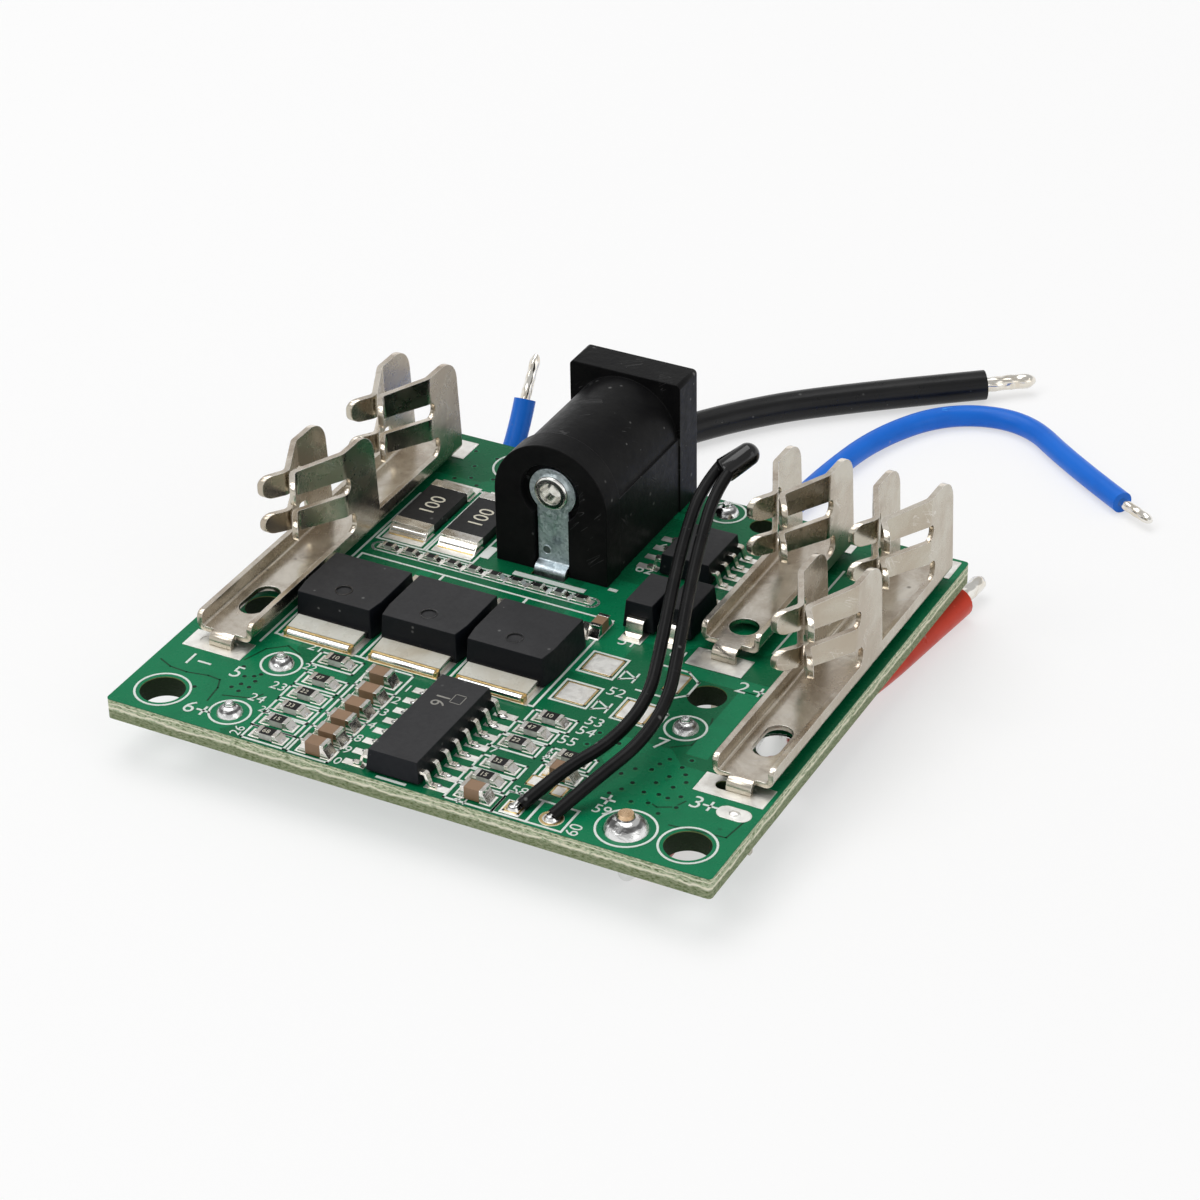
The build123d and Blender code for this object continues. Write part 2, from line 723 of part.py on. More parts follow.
# Metal contact plate seen in the keyhole, with its foot in the board
contact_back = contact_y + contact_thick
foot_z = board_top + contact_foot_height
with BuildPart() as jack_contact:
    with BuildSketch(Plane.XZ.offset(-contact_back)):
        with Locations((jack_x, keyhole_z)):
            Circle(contact_radius)
        with Locations((jack_x, (foot_z + keyhole_z) / 2)):
            Rectangle(contact_width, keyhole_z - foot_z)
        with Locations((jack_x, keyhole_z)):
            Circle(jack_pin_radius, mode=Mode.SUBTRACT)
    extrude(amount=contact_thick)
    with BuildSketch(Plane.YZ.offset(jack_x - contact_width / 2)):
        with BuildLine():
            FilletPolyline(
                (contact_back - contact_thick / 2, foot_z + contact_thick),
                (contact_back - contact_thick / 2, foot_z - contact_foot_bend),
                (contact_back - contact_thick / 2 - contact_foot_reach, foot_z - 2 * contact_foot_bend),
                (contact_back - contact_thick / 2 - contact_foot_reach, 0),
                radius=contact_foot_bend,
            )
        trace(line_width=contact_thick)
    extrude(amount=contact_width)
jack_contact.part.label = "jack_contact_plate"
export_step(jack_contact.part, "parts/jack_contact_plate.step")

# Centre pin, riveted through the contact plate
pin_length = jack_back - jack_pin_back_from_mouth - contact_back
with BuildPart() as jack_pin:
    with BuildSketch(Plane.XZ.offset(-contact_back)):
        with Locations((jack_x, keyhole_z)):
            Circle(jack_pin_radius)
    extrude(amount=-pin_length)
    fillet(jack_pin.edges().group_by(Axis.Y)[-1], pin_tip_round)
    with BuildSketch(Plane.XZ.offset(-contact_back)):
        with Locations((jack_x, keyhole_z)):
            Circle(jack_pin_radius)
    extrude(amount=contact_thick)
    with BuildSketch(Plane.XZ.offset(-contact_y)):
        with Locations((jack_x, keyhole_z)):
            Circle(rivet_radius)
    extrude(amount=rivet_height)
    fillet(jack_pin.edges().group_by(Axis.Y)[0], rivet_round)
    with BuildSketch(Plane.XZ.offset(rivet_height - contact_y)):
        with Locations((jack_x, keyhole_z)):
            Circle(rivet_bore_radius)
    extrude(amount=-rivet_bore_depth, taper=rivet_bore_taper, mode=Mode.SUBTRACT)
jack_pin.part.label = "jack_centre_pin"
export_step(jack_pin.part, "parts/jack_centre_pin.step")

# Sleeve spring under the mouth, with its leg through the board
spring_low = spring_z + spring_thick / 2
with BuildPart() as jack_spring:
    with BuildSketch(Plane.YZ.offset(jack_x - spring_width / 2)):
        with BuildLine():
            FilletPolyline(
                (spring_front, inner_leg_foot),
                (spring_front, spring_low),
                (spring_front + spring_flat, spring_low),
                (jack_back - spring_rise_back, spring_low + spring_rise),
                (jack_back - spring_mouth_gap, spring_low),
                radius=spring_bend,
            )
        trace(line_width=spring_thick)
    extrude(amount=spring_width)
jack_spring.part.label = "jack_sleeve_spring"
export_step(jack_spring.part, "parts/jack_sleeve_spring.step")

# Switch contact beside the socket's bore
with BuildPart() as jack_switch:
    with BuildSketch(Plane.YZ.offset(switch_x - spring_thick / 2)):
        with Locations((switch_y, (jack_axis_z - spring_gap + inner_leg_foot) / 2)):
            Rectangle(switch_width, jack_axis_z - spring_gap - inner_leg_foot)
    extrude(amount=spring_thick)
jack_switch.part.label = "jack_switch_contact"
export_step(jack_switch.part, "parts/jack_switch_contact.step")

# Power transistors: metal tab with leads, then the moulded case around them
mosfet_front = mosfet_back - mosfet_length
for number, mosfet_x in enumerate(mosfet_xs, start=1):
    with BuildPart() as leads:
        with BuildSketch(Plane.XY.offset(pad_top)):
            with Locations((mosfet_x, mosfet_front + (mosfet_tab_inside - mosfet_tab_front) / 2)):
                Rectangle(mosfet_tab_width, mosfet_tab_front + mosfet_tab_inside)
        extrude(amount=mosfet_tab_thick)
        with BuildSketch(Plane.YZ.offset(mosfet_x - mosfet_tab_width / 2)):
            with BuildLine():
                Polyline(
                    (mosfet_front - mosfet_tab_front, pad_top),
                    (mosfet_front - mosfet_tab_front, pad_top + mosfet_solder_height),
                    (mosfet_front - mosfet_tab_front - mosfet_solder_reach, pad_top),
                    close=True,
                )
            make_face()
        extrude(amount=mosfet_tab_width)
        for side in (-1, 1):
            add(make_lead(
                (mosfet_x + side * mosfet_lead_offset, mosfet_back), (0, 1, 0), mosfet_lead_width,
                mosfet_lead_thick, pad_top + mosfet_lead_height, mosfet_lead_inside,
                mosfet_lead_level, mosfet_lead_drop, mosfet_lead_reach,
            ))
    with BuildPart() as case:
        with BuildSketch(Plane.XY.offset(pad_top)):
            with BuildLine():
                Polyline(
                    (mosfet_x - mosfet_width / 2, mosfet_back),
                    (mosfet_x - mosfet_width / 2, mosfet_front + mosfet_facet_y),
                    (mosfet_x - mosfet_width / 2 + mosfet_facet_x, mosfet_front),
                    (mosfet_x + mosfet_width / 2 - mosfet_facet_x, mosfet_front),
                    (mosfet_x + mosfet_width / 2, mosfet_front + mosfet_facet_y),
                    (mosfet_x + mosfet_width / 2, mosfet_back),
                    close=True,
                )
            make_face()
        extrude(amount=mosfet_height, taper=mosfet_draft)
        with BuildSketch(Plane.XY.offset(pad_top + mosfet_height)):
            with Locations((mosfet_x, mosfet_front + mosfet_dimple_back)):
                Circle(mosfet_dimple_radius)
        extrude(amount=-mosfet_dimple_depth, mode=Mode.SUBTRACT)
        add(leads.part, mode=Mode.SUBTRACT)
    leads.part.label = f"mosfet_leads_{number}"
    export_step(leads.part, f"parts/mosfet_leads_{number}.step")
    case.part.label = f"mosfet_case_{number}"
    export_step(case.part, f"parts/mosfet_case_{number}.step")

# Chips with gull-wing leads
chips = [
    ("protection_chip", big_chip_at, big_chip_length, big_chip_height, big_chip_leads),
    ("driver_chip", small_chip_at, small_chip_length, small_chip_height, small_chip_leads),
]
for chip_name, chip_at, chip_length, chip_height, lead_count in chips:
    with BuildPart() as leads:
        for index in range(lead_count):
            lead_y = chip_at[1] + (index - (lead_count - 1) / 2) * chip_pitch
            for side in (-1, 1):
                add(make_lead(
                    (chip_at[0] + side * chip_body_width / 2, lead_y), (side, 0, 0), lead_width,
                    lead_thick, pad_top + lead_shoulder_height, lead_inside, lead_level, lead_drop,
                    (chip_span - chip_body_width) / 2,
                ))
    with BuildPart() as case:
        with BuildSketch(Plane.XY.offset(pad_top + chip_stand_off)):
            with Locations(chip_at):
                Rectangle(chip_body_width, chip_length)
        extrude(amount=chip_height - chip_stand_off, taper=chip_draft)
        add(leads.part, mode=Mode.SUBTRACT)
    leads.part.label = chip_name + "_leads"
    export_step(leads.part, f"parts/{chip_name}_leads.step")
    case.part.label = chip_name + "_case"
    export_step(case.part, f"parts/{chip_name}_case.step")

# Diodes
with BuildPart() as diode_tabs:
    for diode_place in diode_at:
        for side in (-1, 1):
            add(make_lead(
                (diode_place[0], diode_place[1] + side * diode_length / 2), (0, side, 0), diode_tab_width,
                diode_tab_thick, pad_top + diode_tab_height, lead_inside, lead_level, lead_thick,
                diode_tab_foot,
            ))
with BuildPart() as diode_cases:
    for diode_place in diode_at:
        with BuildSketch(Plane.XY.offset(pad_top + chip_stand_off)):
            with Locations(diode_place):
                Rectangle(diode_width, diode_length)
        extrude(amount=diode_height - chip_stand_off, taper=diode_draft)
    add(diode_tabs.part, mode=Mode.SUBTRACT)
diode_tabs.part.label = "diode_tabs"
export_step(diode_tabs.part, "parts/diode_tabs.step")
diode_cases.part.label = "diode_cases"
export_step(diode_cases.part, "parts/diode_cases.step")

# Shunts, resistors and capacitors
shunt_bodies, shunt_ends = make_chips(
    shunt_at, (0, 1, 0), shunt_length, shunt_width, shunt_height, shunt_cap, shunt_solder,
)
shunt_bodies.label = "shunt_bodies"
export_step(shunt_bodies, "parts/shunt_bodies.step")
shunt_ends.label = "shunt_ends"
export_step(shunt_ends, "parts/shunt_ends.step")

resistor_bodies, resistor_ends = make_chips(
    resistor_at, (1, 0, 0), resistor_length, resistor_width, resistor_height, resistor_cap,
    resistor_solder,
)
resistor_bodies.label = "resistor_bodies"
export_step(resistor_bodies, "parts/resistor_bodies.step")
resistor_ends.label = "resistor_ends"
export_step(resistor_ends, "parts/resistor_ends.step")

capacitor_bodies, capacitor_ends = make_chips(
    capacitor_at, (1, 0, 0), capacitor_length, capacitor_width, capacitor_height, capacitor_cap,
    capacitor_solder,
)
capacitor_bodies.label = "capacitor_bodies"
export_step(capacitor_bodies, "parts/capacitor_bodies.step")
capacitor_ends.label = "capacitor_ends"
export_step(capacitor_ends, "parts/capacitor_ends.step")

gate_capacitor_body, gate_capacitor_ends = make_chips(
    [gate_capacitor_at], (0, 1, 0), resistor_length, resistor_width, resistor_width, resistor_cap,
    resistor_cap,
)
gate_capacitor_body.label = "gate_capacitor_body"
export_step(gate_capacitor_body, "parts/gate_capacitor_body.step")
gate_capacitor_ends.label = "gate_capacitor_ends"
export_step(gate_capacitor_ends, "parts/gate_capacitor_ends.step")

row_part_at = [(row_part_start + index * row_part_step, row_part_y) for index in range(row_part_count)]
row_bodies, row_ends = make_chips(
    row_part_at, (1, 0, 0), row_part_length, row_part_width, row_part_height, row_part_cap,
    row_part_cap,
)
row_bodies.label = "gate_resistor_bodies"
export_step(row_bodies, "parts/gate_resistor_bodies.step")
row_ends.label = "gate_resistor_ends"
export_step(row_ends, "parts/gate_resistor_ends.step")

# Pads on the board
tab_pads = [
    (-0.28, 0.1, 4.75, 2.1), (-0.11, 0.3, 5.1, 2.5), (-0.15, -0.35, 4.3, 2.2), (-0.2, 0.45, 4.6, 2.4),
    (-0.35, 0.05, 5.1, 2.2), (-0.2, 0.45, 4.5, 2.4),
]
with BuildPart() as pads:
    with BuildSketch(Plane.XY.offset(board_top)):
        for (tab_x, tab_y), (shift_x, shift_y, pad_width, pad_depth) in zip(tab_places, tab_pads):
            with Locations((tab_x + shift_x, tab_y + shift_y)):
                Rectangle(pad_width, pad_depth)
        for pad_x, from_front, pad_width, pad_depth in framed_pads + plain_pads:
            with Locations((pad_x, front_edge + from_front)):
                Rectangle(pad_width, pad_depth)
        with Locations(sensor_left_foot):
            Rectangle(sensor_square_pad, sensor_square_pad)
        with Locations(long_pad_at):
            SlotOverall(long_pad_length, long_pad_width)
        with Locations(sensor_right_foot):
            Circle(sensor_pad_radius)
        for place in shunt_at:
            for side in (-1, 1):
                with Locations((place[0], place[1] + side * (shunt_length + shunt_solder) / 2)):
                    Rectangle(shunt_pad_width, shunt_pad_length)
        for mosfet_x in mosfet_xs:
            with Locations((mosfet_x, mosfet_front - mosfet_tab_front / 2)):
                Rectangle(mosfet_pad_width, mosfet_pad_length)
            for side in (-1, 1):
                lead_pad_y = mosfet_back + mosfet_lead_reach - mosfet_lead_pad_back
                with Locations((mosfet_x + side * mosfet_lead_offset, lead_pad_y)):
                    Rectangle(*mosfet_lead_pad)
        for chip_name, chip_at, chip_length, chip_height, lead_count in chips:
            for side in (-1, 1):
                with Locations((chip_at[0] + side * chip_span / 2, chip_at[1])):
                    with GridLocations(0, chip_pitch, 1, lead_count):
                        Rectangle(*chip_pad)
        for place in diode_at:
            for side in (-1, 1):
                with Locations((place[0], place[1] + side * (diode_length / 2 + diode_tab_foot / 2))):
                    Rectangle(diode_tab_width + small_pad_length / 2, small_pad_length * 2)
        for place in resistor_at:
            for side in (-1, 1):
                with Locations((place[0] + side * (resistor_length + resistor_cap) / 2, place[1])):
                    Rectangle(small_pad_length, resistor_width + 2 * part_fit)
        with Locations(gate_capacitor_at):
            Rectangle(resistor_width + 2 * part_fit, resistor_length + 3 * resistor_cap)
        for place in capacitor_at:
            for side in (-1, 1):
                with Locations((place[0] + side * (capacitor_length + capacitor_cap) / 2, place[1])):
                    Rectangle(small_pad_length, capacitor_width + 2 * part_fit)
        for place in row_part_at:
            with Locations(place):
                Rectangle(row_part_length + 4 * row_part_cap, row_part_width + 2 * part_fit)
        for tab_x, tab_y in tab_places:
            with Locations((tab_x - tab_slot_shift, tab_y + tab_slot_back)):
                SlotOverall(tab_slot_length, tab_slot_width, mode=Mode.SUBTRACT)
        for place in sensor_places:
            with Locations(place):
                Circle(sensor_dome_radius, mode=Mode.SUBTRACT)
    extrude(amount=pad_thick)
pads.part.label = "tinned_pads"
export_step(pads.part, "parts/tinned_pads.step")

# White print on the board; a frame is given by its left, front, right and back
frame_half = mosfet_width / 2 + mosfet_frame_side
print_frames = [
    (mosfet_x - frame_half, mosfet_front - mosfet_frame_front,
     mosfet_x + frame_half, mosfet_back + mosfet_frame_back)
    for mosfet_x in mosfet_xs
]
frame_half = shunt_width / 2 + shunt_frame_side
print_frames += [
    (place[0] - frame_half, place[1] - shunt_length / 2 - shunt_frame_front,
     place[0] + frame_half, place[1] + shunt_length / 2 + shunt_frame_back)
    for place in shunt_at
]
print_frames += [
    (pad_x - pad_width / 2 - pad_frame_gap, front_edge + from_front - pad_depth / 2 - pad_frame_gap,
     pad_x + pad_width / 2 + pad_frame_gap, front_edge + from_front + pad_depth / 2 + pad_frame_gap)
    for pad_x, from_front, pad_width, pad_depth in framed_pads
]
print_frames += [
    (left, sensor_frame_front, right, sensor_frame_back) for left, right in sensor_frame_sides
]
with BuildPart() as white_print:
    with BuildSketch(Plane.XY.offset(board_top)):
        for left, front, right, back in print_frames:
            with BuildSketch(mode=Mode.PRIVATE) as frame:
                with Locations(((left + right) / 2, (front + back) / 2)):
                    Rectangle(right - left, back - front)
                    Rectangle(right - left - 2 * print_width, back - front - 2 * print_width,
                              mode=Mode.SUBTRACT)
            add(frame.sketch)
        for bar_x, bar_y, bar_width, bar_depth in print_bars:
            with Locations((bar_x, bar_y)):
                Rectangle(bar_width, bar_depth)
        rings = [(place, joint_dome_radius + ring_gap) for place in joint_places]
        rings += [(place, large_dome_radius + ring_gap) for place in power_joint_places]
        rings += [((side * mount_hole_spacing / 2, mount_hole_y), mount_hole_radius + hole_ring_gap)
                  for side in (-1, 1)]
        for place, ring_radius in rings:
            with BuildSketch(mode=Mode.PRIVATE) as ring:
                with Locations(place):
                    Circle(ring_radius + print_width)
                    Circle(ring_radius, mode=Mode.SUBTRACT)
            add(ring.sketch)
    extrude(amount=print_thick)
    add(pads.part, mode=Mode.SUBTRACT)
white_print.part.label = "white_print"
export_step(white_print.part, "parts/white_print.step")

# Solder under the board around the tabs and the socket's legs
leg_places = [(tab_x, tab_y, tab_width, sheet) for tab_x, tab_y in tab_places]
leg_places += [
    (jack_x, contact_foot_y + contact_thick / 2, contact_width, contact_thick),
    (jack_x, spring_front, spring_width, spring_thick),
    (switch_x, switch_y, spring_thick, switch_width),
]
with BuildPart() as leg_solder:
    for leg_x, leg_y, leg_width, leg_depth in leg_places:
        with BuildSketch(Plane.XY.offset(stand_height)):
            with Locations((leg_x, leg_y)):
                Rectangle(leg_width + 2 * leg_solder_reach, leg_depth + 2 * leg_solder_reach)
        extrude(amount=-leg_solder_height, taper=leg_solder_taper)
    for leg_x, leg_y, leg_width, leg_depth in leg_places:
        with BuildSketch():
            with Locations((leg_x, leg_y)):
                Rectangle(leg_width, leg_depth)
        extrude(amount=board_top, mode=Mode.SUBTRACT)
leg_solder.part.label = "underside_solder"
export_step(leg_solder.part, "parts/underside_solder.step")

# Solder joints of the leads
joints = [
    ("joint_b2", b2_joint, False, short_blue_points[0]),
    ("joint_b_plus", b_plus_joint, False, None),
    ("joint_b3", b3_joint, False, None),
    ("joint_positive", positive_joint, True, red_points[0]),
    ("joint_rear", rear_joint, False, long_blue_points[0]),
    ("joint_b_minus", b_minus_joint, True, black_points[0]),
]
for joint_name, joint_place, is_large, toward in joints:
    if is_large:
        joint = make_joint(joint_place, large_dome_radius, large_dome_height, large_bump_radius,
                           large_bump_height, power_core_radius, toward)
    else:
        joint = make_joint(joint_place, joint_dome_radius, joint_dome_height, joint_bump_radius,
                           joint_bump_height, balance_core_radius, toward)
    joint.label = joint_name
    export_step(joint, f"parts/{joint_name}.step")

# Leads and their stripped ends
wires = [
    ("black_lead", black_points, power_wire_radius, black_tip_end, power_core_radius),
    ("red_lead", red_points, power_wire_radius, red_tip_end, power_core_radius),
    ("long_blue_lead", long_blue_points, balance_wire_radius, long_blue_tip_end, balance_core_radius),
    ("short_blue_lead", short_blue_points, balance_wire_radius, short_blue_tip_end, balance_core_radius),
]
for wire_name, wire_points, wire_radius, tip_end, core_radius in wires:
    wire = make_wire(wire_name, wire_points, wire_radius)
    wire.label = wire_name
    export_step(wire, f"parts/{wire_name}.step")
    tip = make_core_tip(wire_points, tip_end, core_radius)
    tip.label = wire_name + "_tip"
    export_step(tip, f"parts/{wire_name}_tip.step")

# Temperature sensor
for side_name, wire_points in (("left", sensor_left_points), ("right", sensor_right_points)):
    wire_name = f"sensor_{side_name}_lead"
    wire = make_wire(wire_name, wire_points, sensor_wire_radius)
    wire.label = wire_name
    export_step(wire, f"parts/{wire_name}.step")
with BuildPart() as sensor_joints:
    for foot, wire_start in (
        (sensor_left_foot, sensor_left_points[0]),
        (sensor_right_foot, sensor_right_points[0]),
    ):
        with BuildSketch(Plane.XY.offset(board_top)):
            with Locations(foot):
                Circle(sensor_dome_radius)
        extrude(amount=sensor_dome_height, taper=sensor_dome_taper)
        with BuildSketch(Plane.XY.offset(stand_height)):
            with Locations(foot):
                Circle(sensor_core_radius + part_fit)
        extrude(amount=board_thick)
        core_low = (foot[0], foot[1], board_top + sensor_dome_height / 2)
        add(make_rod(core_low, wire_start, sensor_core_radius))
sensor_joints.part.label = "sensor_joints"
export_step(sensor_joints.part, "parts/sensor_joints.step")

bead_direction = Vector(*bead_end) - Vector(*bead_start)
with BuildPart() as bead:
    with BuildSketch(Plane(origin=bead_start, z_dir=bead_direction)):
        Circle(bead_radius)
    extrude(amount=bead_direction.length)
    far_edges = bead.edges().group_by(lambda edge: (edge.center() - Vector(*bead_start)).length)[-1]
    fillet(far_edges, bead_round)
bead.part.label = "sensor_bead"
export_step(bead.part, "parts/sensor_bead.step")
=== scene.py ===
import json
import math

import bmesh
import bpy
from mathutils import Matrix, Vector


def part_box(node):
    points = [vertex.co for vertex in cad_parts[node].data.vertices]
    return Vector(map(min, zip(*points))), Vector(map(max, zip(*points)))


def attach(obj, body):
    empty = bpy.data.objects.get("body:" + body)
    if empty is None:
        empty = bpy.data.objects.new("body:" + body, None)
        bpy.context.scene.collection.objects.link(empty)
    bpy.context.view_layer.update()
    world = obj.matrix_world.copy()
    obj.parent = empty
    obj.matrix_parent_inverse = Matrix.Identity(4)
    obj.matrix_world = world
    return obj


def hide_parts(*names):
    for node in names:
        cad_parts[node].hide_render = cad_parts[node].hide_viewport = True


MM = 0.001
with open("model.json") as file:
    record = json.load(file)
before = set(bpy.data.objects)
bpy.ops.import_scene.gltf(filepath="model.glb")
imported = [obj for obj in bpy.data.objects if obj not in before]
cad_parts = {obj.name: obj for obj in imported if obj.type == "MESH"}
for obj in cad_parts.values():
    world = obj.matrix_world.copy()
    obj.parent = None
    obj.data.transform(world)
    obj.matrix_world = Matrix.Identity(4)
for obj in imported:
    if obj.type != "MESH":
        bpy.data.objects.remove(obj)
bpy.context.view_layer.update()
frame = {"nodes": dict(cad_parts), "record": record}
parts = frame["nodes"]

# Heights over the floor and shared sizes, millimetres
BOARD_UNDER = 3.1
BOARD_TOP = 4.7
PAD_TOP = 4.75
PRINT_WIDTH = 0.17
PRINT_THICK = 0.03
RIM_WIDTH = 0.15
SEAT = 0.01  # a thin piece sits this far in what carries it
TAB_REACH = 1.85  # of a transistor's tab, in front of its case
LEAD_PITCH = 1.27
POWER_WIRE, BALANCE_WIRE, SENSOR_WIRE = 1.2, 0.85, 0.45  # radii
SHUNT_PLACES = (-15.05, -10.95)
POSITIVE_JOINT = (15.70, -18.57)
RIGHT_WINDOW = (20.5, -6.05)
VIA_RIM, VIA_HOLE = 0.27, 0.165  # radii
WIRE_TWIST = 0.32  # turns of the strands along a stripped tip
MARK_SEAT = 0.004  # a printed mark sits this far in its part
MARK_THICK = 0.012

# Surface constants
CUT_TONES = ((0.38, (0.13, 0.18, 0.07)), (0.5, (0.45, 0.53, 0.34)), (0.6, (0.62, 0.65, 0.45)),
             (0.7, (0.86, 0.84, 0.66)))
CUT_LINES = ((0.00393, 0.0008, 0.00016), (0.00436, -0.0006, 0.00007))  # height, swing and thickness, metres
CUT_LOW = (0.0039, 0.0037)  # heights between which the cut edge turns dark
HOLE_ZONE = (0.0226, 0.0207)  # walls nearer to the middle than this belong to holes
RIM_LEVEL, MASK_LEVEL = 0.00462, 0.00464
DIGIT_HEIGHT = 0.72  # share of the letter size
SHARP = math.radians(42)


def mm(*numbers):
    return Vector(numbers) * MM


# Camera, solved from the photograph

def aim_camera():
    turn, tilt, roll = math.radians(28.21), math.radians(32.66), math.radians(-1.03)
    back = Vector((math.sin(turn) * math.cos(tilt), -math.cos(turn) * math.cos(tilt), math.sin(tilt)))
    right = Vector((math.cos(turn), math.sin(turn), 0))
    up = back.cross(right)
    level = math.cos(roll) * right + math.sin(roll) * up
    upright = -math.sin(roll) * right + math.cos(roll) * up
    lens = bpy.data.cameras.new("photo_camera")
    lens.lens = 108.3
    lens.sensor_width = 36
    lens.clip_start = 0.01
    lens.clip_end = 20
    camera = bpy.data.objects.new("photo_camera", lens)
    place = mm(1.51, 4.87, 4.7) + back * 0.25585
    camera.matrix_world = Matrix((
        (level.x, upright.x, back.x, place.x),
        (level.y, upright.y, back.y, place.y),
        (level.z, upright.z, back.z, place.z),
        (0, 0, 0, 1),
    ))
    bpy.context.scene.collection.objects.link(camera)
    bpy.context.scene.camera = camera


# Node helpers

def put(tree, kind, **settings):
    made = tree.nodes.new(kind)
    for name, value in settings.items():
        setattr(made, name, value)
    return made


def wire_up(tree, start, end):
    tree.links.new(start, end)


def feed(tree, socket, value):
    if isinstance(value, (int, float)):
        socket.default_value = value
    elif isinstance(value, tuple):
        socket.default_value = (*value, 1)
    else:
        wire_up(tree, value, socket)


def number(tree, operation, *values):
    made = put(tree, "ShaderNodeMath", operation=operation)
    for socket, value in zip(made.inputs, values):
        feed(tree, socket, value)
    return made.outputs[0]


def blend_colour(tree, mask, first, second):
    made = put(tree, "ShaderNodeMix", data_type="RGBA")
    for place, value in ((0, mask), (6, first), (7, second)):
        feed(tree, made.inputs[place], value)
    return made.outputs[2]


def tinted(tree, colour, mask, share, tint):
    return blend_colour(tree, number(tree, "MULTIPLY", mask, share), colour, tint)


def fitted(tree, value, start, end, low=0, high=1, curve="SMOOTHSTEP"):
    made = put(tree, "ShaderNodeMapRange", interpolation_type=curve)
    for label, given in (("Value", value), ("From Min", start), ("From Max", end), ("To Min", low),
                         ("To Max", high)):
        feed(tree, made.inputs[label], given)
    return made.outputs[0]


def noise(tree, point, scale, detail=2, roughness=0.5, distortion=0):
    made = put(tree, "ShaderNodeTexNoise")
    for label, given in (("Vector", point), ("Scale", scale), ("Detail", detail), ("Roughness", roughness),
                         ("Distortion", distortion)):
        feed(tree, made.inputs[label], given)
    return made.outputs


def split_colour(tree, colour):
    made = put(tree, "ShaderNodeSeparateColor")
    wire_up(tree, colour, made.inputs[0])
    return made.outputs


def split_place(tree, place):
    made = put(tree, "ShaderNodeSeparateXYZ")
    wire_up(tree, place, made.inputs[0])
    return made.outputs


def facing_up(tree):
    return split_place(tree, put(tree, "ShaderNodeNewGeometry").outputs["Normal"])[2]


def ways_seen(tree):
    seen = put(tree, "ShaderNodeLightPath").outputs
    return seen["Is Camera Ray"], number(tree, "MAXIMUM", seen["Is Glossy Ray"], seen["Is Transmission Ray"])


def new_group(name, inputs, outputs):
    tree = bpy.data.node_groups.new(name, "ShaderNodeTree")
    for label, start in inputs:
        socket = tree.interface.new_socket(label, in_out="INPUT", socket_type="NodeSocketFloat")
        socket.default_value = start
    for label, kind in outputs:
        tree.interface.new_socket(label, in_out="OUTPUT", socket_type=kind)
    entry = put(tree, "NodeGroupInput")
    leave = put(tree, "NodeGroupOutput")
    return tree, entry.outputs, leave.inputs


def object_point(tree):
    return put(tree, "ShaderNodeTexCoord").outputs["Object"]


# Shared surface effects

def make_grain():
    tree, given, result = new_group(
        "moulded_grain", [("Scale", 2000), ("Low", 0.4), ("High", 0.6)],
        [("Value", "NodeSocketFloat"), ("Height", "NodeSocketFloat")],
    )
    height = noise(tree, object_point(tree), given["Scale"], 5, 0.6)[0]
    wire_up(tree, fitted(tree, height, 0.3, 0.7, given["Low"], given["High"], "LINEAR"), result["Value"])
    wire_up(tree, height, result["Height"])
    return tree


def make_stains():
    tree, given, result = new_group(
        "cloudy_stains", [("Scale", 150), ("Cover", 0.5), ("Soft", 0.2)], [("Mask", "NodeSocketFloat")],
    )
    clouds = noise(tree, object_point(tree), given["Scale"], 6, 0.65, 0.6)[0]
    start = number(tree, "SUBTRACT", given["Cover"], given["Soft"])
    end = number(tree, "ADD", given["Cover"], given["Soft"])
    wire_up(tree, fitted(tree, clouds, start, end), result["Mask"])
    return tree


def make_specks():
    tree, given, result = new_group(
        "small_specks", [("Scale", 900), ("Size", 0.1), ("Share", 0.3)], [("Mask", "NodeSocketFloat")],
    )
    cells = put(tree, "ShaderNodeTexVoronoi", feature="F1")
    wire_up(tree, object_point(tree), cells.inputs["Vector"])
    wire_up(tree, given["Scale"], cells.inputs["Scale"])
    draw = split_colour(tree, cells.outputs["Color"])
    chosen = number(tree, "LESS_THAN", draw[0], given["Share"])
    size = number(tree, "MULTIPLY", given["Size"], draw[1])
    near = fitted(tree, cells.outputs["Distance"], 0, size, 1, 0, "LINEAR")
    wire_up(tree, number(tree, "MULTIPLY", near, chosen), result["Mask"])
    return tree


def make_scratches():
    tree, given, result = new_group(
        "fine_scratches", [("Scale", 60), ("Thin", 0.004), ("Share", 0.4)], [("Mask", "NodeSocketFloat")],
    )
    masks = []
    for turn, stretch in ((0.4, 0.05), (1.5, 0.07), (2.5, 0.04)):
        mapping = put(tree, "ShaderNodeMapping", vector_type="TEXTURE")
        mapping.inputs["Rotation"].default_value = (turn * 0.7, turn * 0.4, turn)
        mapping.inputs["Scale"].default_value = (1, stretch, 1)
        wire_up(tree, object_point(tree), mapping.inputs["Vector"])
        waves = noise(tree, mapping.outputs[0], given["Scale"])[0]
        off = number(tree, "ABSOLUTE", number(tree, "SUBTRACT", waves, 0.5))
        masks.append(number(tree, "LESS_THAN", off, given["Thin"]))
    both = number(tree, "MAXIMUM", number(tree, "MAXIMUM", masks[0], masks[1]), masks[2])
    kept = number(tree, "LESS_THAN", noise(tree, object_point(tree), 400)[0], given["Share"])
    wire_up(tree, number(tree, "MULTIPLY", both, kept), result["Mask"])
    return tree


